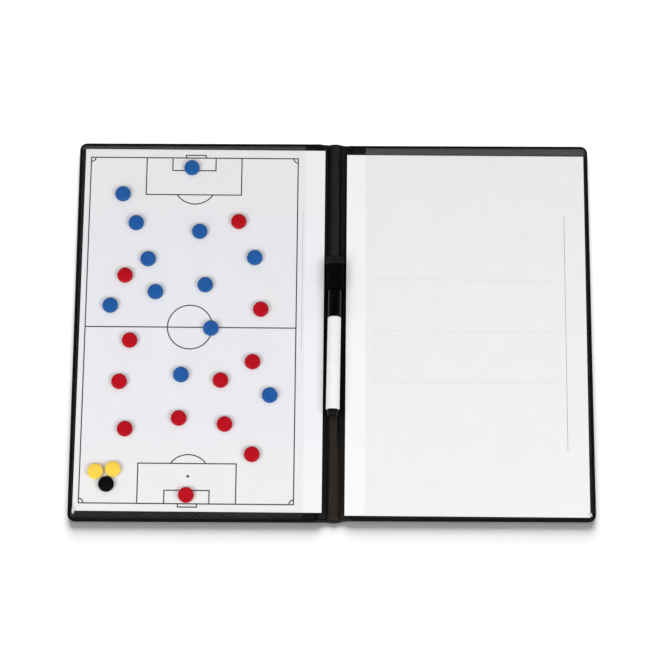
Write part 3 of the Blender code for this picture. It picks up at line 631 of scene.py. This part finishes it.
coverShape = {
    "outer": 229.0, "corner": 6.5, "innerCorner": 3.0, "rim": 2.0, "cornerPoints": 10,
    "sway": 0.042, "sink": 0.049,
    # for each ring its inset and height, and how much of the bead's waviness and of its wear and painted
    # highlight it takes
    "inset": [0, 12, 2.5, 2.1, 2.0, 2.0, 2.0, 1.8, 1.4, 0.85, 0.23, 0.0,
              0.0, 0.0, 0.23, 0.85, 1.7, 2.8, 3.1, 3.5, 3.9, 4.2, 12, 0],
    "level": [0.5, 0.5, 0.5, 0.62, 0.9, 2.6, 4.9, 5.42, 5.6, 5.37, 4.75, 3.9,
              2.6, 1.7, 0.85, 0.23, 0.0, 0.0, 0.1, 0.14, 0.1, 0.0, 0.0, 0.0],
    "bead": [0, 0, 0, 0, 0, 0.2, 0.7, 1, 1, 1, 0.8, 0.5, 0.2] + [0] * 11,
    "worn": [0, 0, 0, 0, 0, 0, 0.3, 0.8, 1, 1, 0.7, 0.3] + [0] * 12,
    "outermost": 11,
}


def makeCover(name, body, side, hingeEnd, half):
    # each ring is the leaf's three-sided outline moved in by its inset: from the floor's middle up the rim's
    # inner wall, over the bead, down outside and back along the weld groove to the middle
    shape = coverShape
    inset, level, bead, worn = (np.array(shape[key])[:, None] for key in ("inset", "level", "bead", "worn"))
    run = np.linspace(0, 1, 38)[:-1]
    quarter = np.linspace(90, 0, shape["cornerPoints"])
    down = np.linspace(1, -1, 60)[1:-1]
    flank = np.ones(len(run) + len(quarter))
    across = np.concatenate([run, np.ones(2 * len(quarter) + len(down)), run[::-1]])
    endwise = np.concatenate([flank, down, -flank])
    turn = np.radians(np.concatenate([0 * run + 90, quarter, 0 * down, -quarter[::-1], 0 * run - 90]))
    # the corner's radius falls with the inset; over the bead it goes down to that of the rim's inner wall
    tighter = shape["corner"] - inset * (shape["corner"] - shape["innerCorner"]) / shape["rim"]
    upper = np.arange(len(inset))[:, None] <= shape["outermost"]
    radius = np.maximum(np.where(upper, tighter, shape["corner"] - inset), 0.5)
    away = hingeEnd + across * (shape["outer"] - inset - radius - hingeEnd) + radius * np.cos(turn)
    y = endwise * (half - inset - radius) + radius * np.sin(turn)
    for middle in (0, -1):
        away[middle] = hingeEnd + across * (shape["outer"] - hingeEnd) / 2
        y[middle] = 0.0
    along = travelled(np.stack([away, y], -1)[shape["outermost"]])
    sway = bead * np.abs(ripple(along, (83.0, 37.0, 13.0), 1.7 + side)) * shape["sway"]
    sink = bead * np.abs(ripple(along, (61.0, 23.0, 9.0), 3.1 - side)) * shape["sink"]
    points = np.stack([side * (away - sway * np.cos(turn)), y - sway * np.sin(turn), level - sink], -1)
    rings = np.arange(away.size).reshape(away.shape)
    piece = newPiece(name + "CoverSkin", points, gridFaces(*away.shape) + rings[:, [0, -1]].T.tolist(),
                     [vinyls["coverVinyl"]], body, masks={"worn": worn + 0 * away}, sharp=50)
    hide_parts(name + "_cover")


makeCover("left", "left_leaf", -1, 14.0, 172.4)
makeCover("right", "right_leaf", 1, 17.0, 171.0)
print("cover skins made")


# The spine, with its lining welded to the skin at both ends

spineShape = {
    "centre": 1.5, "half": 5.25, "end": 172.9, "endCut": 0.7, "crown": 3.7, "side": 0.6, "foot": 0.2,
    "power": 2.6, "lip": 3.3, "round": 1.4, "dip": 0.55, "pucker": 0.16, "wave": 0.05,
    # each crease: x at the bottom end and at the top end, y where it starts and stops, depth, width, and the
    # darkness of its painted shade
    "creases": [(5.0, 6.7, -128, 169, 0.34, 0.50, 1.0), (4.0, 4.9, 104, 172, 0.22, 0.40, 0.7),
                (2.2, 3.4, 96, 150, 0.10, 0.50, 0.15), (-2.3, -2.9, -150, 20, 0.08, 0.45, 0.15),
                (0.6, 1.6, -169, -132, 0.14, 0.40, 0.3)],
}


def roundOver(toEnd, radius):
    # how far an end rounded to this radius stands back at this distance from it
    return radius - np.sqrt(np.maximum(radius ** 2 - (radius - np.minimum(toEnd, radius)) ** 2, 0))


def markerShade(rows):
    # how much a surface beside the marker lies in its shade
    return 0.4 * smoothStep((rows + 84) / 8) * smoothStep((50 - rows) / 8)


def nearBottom(rows):
    # 0 down to y = -85, 1 from y = -125 down, and a smooth step between
    return smoothStep((-85 - rows) / 40)


def makeSpine():
    # section: x = half sin(t pi/2), under a squared-off arch, closed by a flat underside
    shape = spineShape
    centre, half, end, lip = (shape[key] for key in ("centre", "half", "end", "lip"))
    offset = half * np.sin(np.linspace(-1, 1, 57) * np.pi / 2)
    arch = squaredArch(offset / half, shape["power"])
    fromEnd = np.array([
        0, 0.12, 0.35, 0.7, 1.1, 1.6, 2.0, 2.35, 2.7, 3.05, 3.4, 3.9, 4.6, 5.5, 6.5, 7.6, 9, 10.5, 12
    ])
    rows = np.concatenate([fromEnd - end, np.linspace(-159, 159, 150), (end - fromEnd)[::-1]])[:, None]
    toEnd = end - np.abs(rows)
    # a welded end is a lip rounded over at top and bottom, then a dip where the skins are welded
    out = roundOver(toEnd, shape["round"])
    top = lip - out + (shape["crown"] - lip) * smoothStep((toEnd - 2.1) / 2.2)
    top = top - shape["dip"] * bell(toEnd - 2.7, 0.55)
    foot = out + shape["foot"] + (shape["side"] - shape["foot"]) * smoothStep(toEnd / 1.4)
    x = centre + offset + 0 * rows
    # the welded ends are rounded off towards their corners
    cut = shape["endCut"] * np.sign(rows) * smoothStep((np.abs(rows) - 166) / 6)
    z = foot + (top - foot) * arch
    inner = smoothStep(arch / 0.6) * smoothStep((toEnd - 1.2) / 2)
    share = (rows + 170) / 340
    # painted shade: the folds and the strip beside the marker are darkened
    creased = 0 * x
    for bottomX, topX, start, stop, depth, width, dark in shape["creases"]:
        line = bottomX + (topX - bottomX) * share - 1.1 * smoothStep((rows - 145) / 20)
        line = line + 0.22 * np.sin(rows / 23 + bottomX) + 0.10 * np.sin(rows / 7.3 + topX)
        length = smoothStep((rows - start) / 60) * smoothStep((stop - rows) / 14)
        fold = length * bell(x - line, width)
        swelling = 0.35 * length * bell(x - line - 1.3 * width, 1.2 * width)
        z = z - depth * (fold - swelling) * inner
        creased = np.maximum(creased, dark * fold)
    creased = np.maximum(creased, markerShade(rows))
    # the ridge lies left of the long crease and narrows towards the top end; its lightening is a painted
    # highlight
    ridge = smoothStep((x + 4.0) / (2.2 + 5.5 * share)) * smoothStep((4.6 + 1.6 * share - x) / 1.5)
    pucker = bell(toEnd - 4.5, 3.2) * raised(np.sin(x * 2.6 + rows * 0.5 + np.sin(rows * 0.9)))
    wave = raised(ripple(rows + 3 * x, (31.0, 17.0, 9.0), 0.6))
    z = z - (shape["pucker"] * pucker + shape["wave"] * wave) * inner
    weld = np.maximum(0.9 * bell(rows + end - 4.5, 4), 0.65 * nearBottom(rows) * (offset > 0))
    worn = np.maximum(ridge, weld)
    xUnder = centre + half * np.linspace(0.96, -0.96, 9) + 0 * rows
    bare = 0 * xUnder
    x, z, worn, creased = (
        np.concatenate(both, axis=1) for both in ((x, xUnder), (z, out + bare), (worn, bare), (creased, bare))
    )
    points = np.stack([x, rows - cut * np.abs((x - centre) / half) ** 2.5, z], -1)
    ends = np.arange(x.size).reshape(x.shape)[[0, -1]].tolist()
    masks = {"worn": worn, "creased": creased, "warm": smoothStep((70 - rows) / 150) + 0 * x}
    faces = gridFaces(*x.shape, wrapColumns=True) + ends
    piece = newPiece("spineSkin", points, faces, [vinyls["spineVinyl"]], "spine", masks=masks, sharp=55)
    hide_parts("spine_cover", "spine_lining")


makeSpine()


# The flexible skin on each side of the spine, welded into two grooves

hingeShape = {"level": 0.9, "lip": 3.3, "rimLip": 5.45, "round": 1.4, "groove": 0.28, "roll": 0.22,
              "wave": 0.07, "overlap": 0.28, "axis": 0.45}


def makeHinge(name, spineX, leafX, end, darkness, shaded, rubbed):
    # a slab whose top is level + a low roll - two grooves - fine puckers, with a raised lip at each end that
    # climbs from the height of the spine's lip to that of the leaf's rim; it reaches a little past both
    # creases, so that no gap shows beside the spine or the leaf; darkness is how dark the painted shade in
    # its two folds is, shaded is where painted shade from the sheet's edge darkens it, towards the top end,
    # and rubbed how much wear it shows towards the bottom end
    shape = hingeShape
    past = math.copysign(shape["overlap"], leafX - spineX)
    share = np.linspace(0, 1, 41)
    fromEnd = np.array([0, 0.12, 0.35, 0.7, 1.1, 1.6, 1.9, 2.2, 2.5, 2.9, 3.4, 4.2, 5.5, 7.5])
    y = np.concatenate([fromEnd - end, np.linspace(-161, 161, 110), (end - fromEnd)[::-1]])
    rows = y[:, None] + 0 * share
    x = spineX - past + (leafX - spineX + 2 * past) * share + 0 * rows
    # beside the spine it is as long as the spine's rounded corner, beside the leaf as long as the leaf
    longer = (spineShape["end"] - spineShape["endCut"] - end) * (1 - share) ** 2 * np.sign(rows)
    toEnd = end - np.abs(rows)
    out = roundOver(toEnd, shape["round"])
    lip = shape["lip"] + (shape["rimLip"] - shape["lip"]) * smoothStep((share - 0.3) / 0.7)
    flat = smoothStep((toEnd - 2.6) / 2)
    wander = 0.18 * np.sin(rows / 31 + leafX)
    folds = [bell(np.abs(x - crease) - 0.75 - wander, 0.38) for crease in (spineX, leafX)]
    wave = raised(ripple(rows + 5 * share, (12.0, 5.3, 3.1), leafX))
    top = lip - out + (shape["level"] - lip) * smoothStep((toEnd - 1.7) / 1.1)
    grooves = shape["groove"] * np.maximum(*folds)
    top = top + (shape["roll"] * np.sin(np.pi * share) - grooves - shape["wave"] * wave) * flat
    points, faces = slab(x, rows + longer * smoothStep((np.abs(rows) - 160) / 8), top, out)
    # beside the sheet's edge and beside the marker it is painted darker as shade
    beside = np.maximum(0.6 * bell(x - shaded, 0.6) * smoothStep((rows + 20) / 80), markerShade(rows))
    creased = np.maximum(np.maximum(folds[0] * darkness[0], folds[1] * darkness[1]), beside) * flat
    masks = {"creased": creased, "worn": 0.38 + rubbed * nearBottom(rows) + 0.5 * bell(rows + end - 3, 4),
             "warm": 2 * rubbed * nearBottom(rows)}
    piece = newPiece(name + "HingeSkin", points, faces, [vinyls["spineVinyl"]], sharp=50,
                     masks={key: np.concatenate([mask, 0 * mask]) for key, mask in masks.items()})
    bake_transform(piece)
    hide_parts(name + "_hinge_strip")


makeHinge("left", -4.05, -13.7, 172.4, (0.85, 0.5), -9.3, 0.0)
makeHinge("right", 7.05, 16.7, 171.0, (0.3, 0.6), 11.2, 0.3)
print("spine and hinge skins made")


# The clear pockets

filmShape = {
    "outer": 226.7, "corner": 2.7, "weldSide": 1.2, "weldEnd": 0.7, "wave": 0.05, "pucker": 0.03,
    # the welds' whitening is a painted sheen
    "weldHaze": 0.008,
    # the heights of its underside and of its top, at the welds and over the sheet
    "under": (4.25, 5.16), "over": (4.62, 5.38),
}


def makePocket(name, body, side, openEdge, half, curls, hazeFrom, haze):
    # one thin skin over a grid that is closer at its edges: it lies down at the welds, rises over the sheet
    # within a millimetre, waves a little between, and lifts into a bump at each curl; past the sheet's top
    # end it is whitened as a painted sheen, and each curl is whitened partly as stress-whitened film and
    # partly as a painted highlight
    shape = filmShape
    fine = np.array([0, 0.3, 0.6, 0.9, 1.1, 1.3, 1.5, 1.8, 2.2, 2.8, 3.6, 4.6, 6, 8, 10.5, 13.5, 17, 21, 26])
    width, length = shape["outer"] - openEdge, 2 * half
    toSide, fromEnd = np.meshgrid(
        np.concatenate([fine, np.linspace(32, width - 4, 26), [width - 1.5, width]]),
        np.concatenate([fine, np.linspace(32, length - 32, 44), length - fine[::-1]])
    )
    away, y = shape["outer"] - toSide, fromEnd - half
    toEnd = np.minimum(fromEnd, length - fromEnd)
    pastSide, pastEnd = toSide - shape["weldSide"], toEnd - shape["weldEnd"]
    lift = smoothStep((pastSide + 0.3) / 0.9) * smoothStep((pastEnd + 0.25) / 0.55)
    waves = ripple(away + 0.4 * y, (71.0, 43.0, 29.0), 1.1) * np.cos(y / 37 + side)
    rise = shape["wave"] * (0.5 + 0.3 * waves)
    for along, step, drift, distance in ((y, 8.3, 11, toSide), (away, 9.1, 13, toEnd)):
        pucker = raised(np.sin(2 * np.pi * along / step + np.sin(along / drift)))
        rise = rise + shape["pucker"] * pucker * np.exp(-distance / 5)
    # the weld and the steep rise beside it
    welded = 1 - smoothStep((np.minimum(pastSide, pastEnd) - 1.0) / 0.9)
    # painted sheen: the band past the sheet's top end and the welds are whitened
    milky = haze * smoothStep((y - hazeFrom) / 1.2) + shape["weldHaze"] * welded
    # each curl is whitened, partly as stress-whitened film and partly as a painted highlight
    for alongSide, alongEnd, sideSize, endSize, height, milk in curls:
        curl = bell(toSide - alongSide, sideSize) * bell(fromEnd - alongEnd, endSize)
        rise, milky = rise + height * curl, milky + milk * smoothStep(curl * 1.6 - 0.3)
    bottom, top = (low + (high - low + rise) * lift for low, high in (shape["under"], shape["over"]))
    # the square corner of the grid is drawn in to a quarter circle: v max(|vx|, |vy|) / |v|
    centreX, centreY = shape["outer"] - shape["corner"], half - shape["corner"]
    vx, vy = np.maximum(away - centreX, 0), np.maximum(np.abs(y) - centreY, 0)
    pull = np.maximum(vx, vy) / np.maximum(np.hypot(vx, vy), 1e-9)
    corner = (vx > 0) & (vy > 0)
    away = np.where(corner, centreX + vx * pull, away)
    y = np.where(corner, np.sign(y) * (centreY + vy * pull), y)
    points, faces = slab(side * away, y, top, bottom)
    masks = {"milky": np.concatenate([milky, milky]), "welded": np.concatenate([welded, welded])}
    piece = newPiece(name + "Film", points, faces, [clearFilm], body, masks=masks, sharp=60)
    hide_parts(name + "_pocket")


# each curl: distance from the outer weld and from the bottom end, its two sizes, height and whitening, partly
# whitened film and partly a painted highlight; then where the painted sheen past the sheet's top end starts,
# and how strong it is
makePocket("left", "left_leaf", -1, 25.0, 170.1, [(2.6, 7.0, 1.3, 3.6, 0.8, 0.5)], 165.6, 0.042)
makePocket("right", "right_leaf", 1, 29.0, 168.7, [(2.4, 3.6, 1.6, 1.8, 0.9, 0.5)], 161.0, 0.064)
print("films made")


# The elastic loop

loopShape = {
    "spineX": 1.5, "penX": 2.0, "penHeight": 10.05, "midRadius": 6.85, "reach": 9.4, "footHeight": 1.9,
    "leftLeg": -4.85, "rightLeg": 8.85, "near": 34.05, "knee": 56.45, "skirt": 10.5, "skirtPower": 1.5,
    "lowHalf": 7.35, "lowTop": 4.7, "lowPower": 2.6, "thickness": 1.1, "edge": 0.3,
    "hem": 61.6, "hemSlant": 0.284, "hemStep": 0.25,
    # counted along the section: all of it, each side curve, and the half circle between them
    "section": 28, "sidePart": 7, "archPart": 14,
}


def sideCurve(foot, leg, share):
    # a cubic curve from the foot up to the marker's height, through two knots above the leg's foot
    low, high = loopShape["footHeight"], loopShape["penHeight"]
    a, b, c, d = (1 - share) ** 3, 3 * share * (1 - share) ** 2, 3 * share ** 2 * (1 - share), share ** 3
    return a * foot + (b + c + d) * leg, (a + b) * low + c * (low + high) / 2 + d * high


def makeLoop():
    # the section round the cap is two side curves and a half circle; the low section is a squared-off arch;
    # rows along the spine go from the one to the other as sin(share pi/2)^power
    shape = loopShape
    middle, reach, foot, knee = (shape[key] for key in ("spineX", "reach", "footHeight", "knee"))
    whole, sidePart, archPart = (shape[key] for key in ("section", "sidePart", "archPart"))
    place = np.linspace(0, whole, 141)
    left = sideCurve(middle - reach, shape["leftLeg"], np.clip(place / sidePart, 0, 1))
    right = sideCurve(middle + reach, shape["rightLeg"], np.clip((whole - place) / sidePart, 0, 1))
    turn = np.clip((place - sidePart) / archPart, 0, 1) * np.pi
    radius = shape["midRadius"]
    bend = (shape["penX"] - radius * np.cos(turn), shape["penHeight"] + radius * np.sin(turn))
    parts = [place < sidePart, place > whole - sidePart]
    full = [np.select(parts, [left[k], right[k]], bend[k]) for k in (0, 1)]
    lowX = reach * np.sin((2 * place / whole - 1) * np.pi / 2)
    arch = squaredArch(lowX / shape["lowHalf"], shape["lowPower"])
    low = [middle + lowX, foot + (shape["lowTop"] - foot) * arch]
    level, down = np.linspace(shape["near"], knee, 24)[:-1], np.linspace(0, 1, 41)
    rows = np.concatenate([level, knee + shape["skirt"] * down])[:, None] + 0 * place
    fall = np.concatenate([0 * level, np.sin(down * np.pi / 2) ** shape["skirtPower"]])[:, None]
    x, z = (full[k] + (low[k] - full[k]) * fall for k in (0, 1))
    # past the hem's edge, which runs across the slope, the webbing lies double, so it steps up
    hem = smoothStep((rows + shape["hemSlant"] * z - shape["hem"] + 0.3) / 0.6)
    z = z + shape["hemStep"] * hem * np.sin(np.pi * place / whole)
    points = np.stack([x, rows, z], -1)
    around, along = travelled(np.stack(full, -1)), travelled(points[:, len(place) // 2])
    piece = newPiece("elasticLoop", points, gridFaces(*rows.shape), [elasticBand], "spine",
                     uv=np.stack(np.meshgrid(around, along), -1), masks={"hem": hem}, sharp=60)
    thick = piece.modifiers.new("thickness", "SOLIDIFY")
    thick.thickness, thick.offset, thick.use_even_offset = shape["thickness"] * mm, 0.0, True
    soft = piece.modifiers.new("softEdges", "BEVEL")
    soft.width, soft.segments = shape["edge"] * mm, 2
    soft.limit_method, soft.angle_limit = "ANGLE", math.radians(60)
    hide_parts("pen_loop")


makeLoop()
print("elastic loop made")


# The marker: every profile is (radius, height) with the cap's mouth at 0 and the cap above it

markerShape = {"at": (2.0, 45.25, 10.05), "turn": 0.72, "mouth": -35.803, "steps": 72}


def makeTurnedPiece(name, node, body, material, profile, ring=False):
    local, faces = swept(profile, markerShape["steps"], ring)
    turn = math.radians(markerShape["turn"])
    forward = np.array([math.sin(turn), math.cos(turn), 0.0])
    axes = np.array([[math.cos(turn), -math.sin(turn), 0.0], [0.0, 0.0, 1.0], forward])
    points = np.array(markerShape["at"]) + forward * markerShape["mouth"] + local @ axes
    piece = newPiece(name, points, faces, [material], body, sharp=32)
    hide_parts(node)


capProfile = [(0, 46.0), (2.6, 45.96)] + rounding(4.4, 44.55, 1.45, 88, 0, 9)
capProfile += [(5.85, 30.0), (5.85, 15.0), (5.85, 2.2), (5.75, 2.05), (5.75, 1.7), (5.85, 1.55), (5.85, 0.35)]
capProfile += [(5.75, 0.1), (5.55, 0.0), (5.25, 0.0), (5.15, 0.12), (5.15, 14.6), (4.45, 43.8), (3.75, 44.5)]
capProfile += [(0, 44.5)]
makeTurnedPiece("penCap", "pen_cap", "pen_cap", plastics["capBlack"], capProfile)

barrelProfile = [(4.75, 14.0), (4.85, 13.9), (4.85, 9.2), (4.75, 9.0), (4.75, 8.5), (4.85, 8.3), (4.85, -0.3)]
barrelProfile += [(5.0, -0.3)] + rounding(5.05, -1.1, 0.8, 85, 0, 7)
barrelProfile += [(5.88, -20.0), (5.92, -42.0), (5.96, -63.0), (6.0, -82.6), (5.97, -83.05), (5.85, -83.25)]
barrelProfile += [(5.0, -83.25), (4.9, -83.1), (4.9, -1.1), (4.05, -1.1), (4.05, 13.9), (4.15, 14.0)]
makeTurnedPiece(
    "penBarrel", "pen_barrel", "pen_body", plastics["barrelWhite"], barrelProfile, True
)

plugProfile = [(0, -76.95), (4.4, -76.95), (4.6, -77.15), (4.6, -83.55), (4.9, -83.55), (5.0, -83.65)]
plugProfile += [(5.0, -84.5), (4.75, -84.7), (4.75, -85.1), (5.0, -85.3)]
plugProfile += [(5.0, -86.5), (4.75, -86.7), (4.75, -87.1), (5.0, -87.3)]
plugProfile += rounding(4.3, -88.25, 0.7, 0, -90, 6) + [(3.3, -88.95), (3.1, -88.8), (3.0, -88.3), (0, -88.2)]
makeTurnedPiece("penEndPlug", "pen_end_plug", "pen_body", plastics["plugBlack"], plugProfile)

nibProfile = [(2.0 * math.sin(t), 27.0 + 4.0 * math.cos(t)) for t in np.linspace(0, math.pi / 2, 12)]
nibProfile += [(2.0, -1.1), (0, -1.1)]
makeTurnedPiece("penNib", "pen_nib", "pen_body", fibrous["nibFelt"], nibProfile)

holderProfile = [(2.45, 24.0), (2.75, 23.85), (2.9, 23.6), (3.2, 20.0), (3.6, 15.6), (4.05, 15.15)]
holderProfile += [(4.65, 15.1), (4.85, 14.95), (4.85, 14.3), (3.75, 14.3), (3.75, 4.0)]
holderProfile += [(2.3, 4.0), (2.3, 23.9)]
makeTurnedPiece(
    "penNibHolder", "pen_nib_holder", "pen_body", plastics["barrelWhite"], holderProfile, True
)
print("marker made")


# The counters, each on its own body

counterShape = {
    "steps": 56,
    "profile": [(0, 3.2), (2.5, 3.195), (4.4, 3.16), (5.45, 3.08), (6.08, 2.92), (6.52, 2.62), (6.78, 2.2),
                (6.89, 1.7), (6.9, 0.9), (6.88, 0.1), (6.8, -0.15), (6.6, -0.25), (6.05, -0.25),
                (5.85, -0.12), (5.8, 0.05), (5.8, 0.3), (0, 0.3)],
}


def makeCounters():
    local, faces = swept(counterShape["profile"], counterShape["steps"])
    for node in sorted(name for name in nodes if name.startswith("counter_")):
        low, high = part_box(node)
        middle = (low + high) / 2
        points = local + np.array([middle.x, middle.y, low.z]) / mm
        colour, number = node.split("_")[1:]
        name = "counter" + colour.title()
        piece = newPiece(name + number, points, faces, [plastics[name], plastics["ferrite"]], node, sharp=45)
        for face in piece.data.polygons:
            # the recess underneath shows the magnet
            if face.normal.z < -0.9 and face.center.z > low.z + 0.2 * mm:
                face.material_index = 1
        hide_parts(node)


makeCounters()
print("counters made")


# Floor, light and camera

stageLook = {"floor": (0.68,) * 3, "lift": 0.055, "world": 0.46, "reach": 4, "below": 0.0003}


def seenDirectly(tree):
    # 1 for rays from the camera, mirrored or let through, 0 for those that bring light
    rays = addNode("LightPath", {}, tree).outputs
    mirrored = calc("MAXIMUM", rays["Is Camera Ray"], rays["Is Glossy Ray"])
    return calc("MAXIMUM", mirrored, rays["Is Transmission Ray"])


def makeFloor():
    mesh = bpy.data.meshes.new("floor")
    reach, level = stageLook["reach"], -stageLook["below"]
    corners = [(-reach, -reach, level), (reach, -reach, level), (reach, reach, level), (-reach, reach, level)]
    mesh.from_pydata(corners, [], [(0, 1, 2, 3)])
    floor = bpy.data.objects.new("floor", mesh)
    bpy.context.scene.collection.objects.link(floor)
    material, tree, shader, _ = newMaterial("paleFloor", {
        "Base Color": (*stageLook["floor"], 1), "Roughness": 0.9, "Specular IOR Level": 0.0,
        "Emission Strength": 1.0
    })
    connect(shader, {"Emission Color": times(seenDirectly(tree), stageLook["lift"])})
    mesh.materials.append(material)
    return floor


def makeWorld():
    world = bpy.data.worlds.new("paleRoom")
    bpy.context.scene.world = world
    world.use_nodes = True
    tree = world.node_tree
    connect(tree.nodes["Background"], {
        "Color": (1, 1, 1, 1), "Strength": spread(seenDirectly(tree), stageLook["world"], 1.0)
    })


# two soft lamps in front light the folder, one behind it lights only the floor, so the shadow falls forward
lamps = {
    "lampLeft": {"at": (-1.30, -0.98, 1.50), "towards": (1.30, 0.98, -1.50), "size": (0.9, 0.9),
                 "power": 21.2, "floor": False},
    "lampRight": {"at": (1.30, -0.98, 1.50), "towards": (-1.30, 0.98, -1.50), "size": (0.9, 0.9),
                  "power": 21.8, "floor": False},
    "lampFloor": {"at": (0.0, 2.6, 1.59), "towards": (0, -1, 0), "size": (2.6, 2.16),
                  "power": 300.0, "floor": True},
}


def makeLamps(floor):
    for name, lamp in lamps.items():
        light = bpy.data.lights.new(name, "AREA")
        light.shape, light.energy = "RECTANGLE", lamp["power"]
        light.size, light.size_y = lamp["size"]
        holder = bpy.data.objects.new(name, light)
        bpy.context.scene.collection.objects.link(holder)
        holder.location = lamp["at"]
        holder.rotation_euler = Vector(lamp["towards"]).to_track_quat("-Z", "Z").to_euler()
        lit = bpy.data.collections.new(name + "Lights")
        lit.objects.link(floor)
        lit.collection_objects[0].light_linking.link_state = "INCLUDE" if lamp["floor"] else "EXCLUDE"
        holder.light_linking.receiver_collection = lit


cameraView = {"lens": 117.31, "sensor": 36.0, "clip": (0.05, 50.0), "target": (-0.000065, -0.001965, 0.0),
              "distance": 1.9203, "elevation": 75.92, "azimuth": 1.16, "roll": -0.878}


def makeCamera():
    camera = bpy.data.objects.new("camera", bpy.data.cameras.new("camera"))
    bpy.context.scene.collection.objects.link(camera)
    camera.data.lens, camera.data.sensor_width = cameraView["lens"], cameraView["sensor"]
    camera.data.clip_start, camera.data.clip_end = cameraView["clip"]
    up, around, roll = (math.radians(cameraView[key]) for key in ("elevation", "azimuth", "roll"))
    back = Vector((math.cos(up) * math.sin(around), -math.cos(up) * math.cos(around), math.sin(up)))
    level = Vector((math.cos(around), math.sin(around), 0.0))
    right = level * math.cos(roll) + back.cross(level) * math.sin(roll)
    turned = Matrix((right, back.cross(right), back)).transposed().to_4x4()
    at = Vector(cameraView["target"]) + back * cameraView["distance"]
    camera.matrix_world = Matrix.Translation(at) @ turned
    bpy.context.scene.camera = camera


floor = makeFloor()
makeWorld()
makeLamps(floor)
makeCamera()
bpy.context.scene.view_settings.view_transform = "Standard"
print("stage, light and camera made")
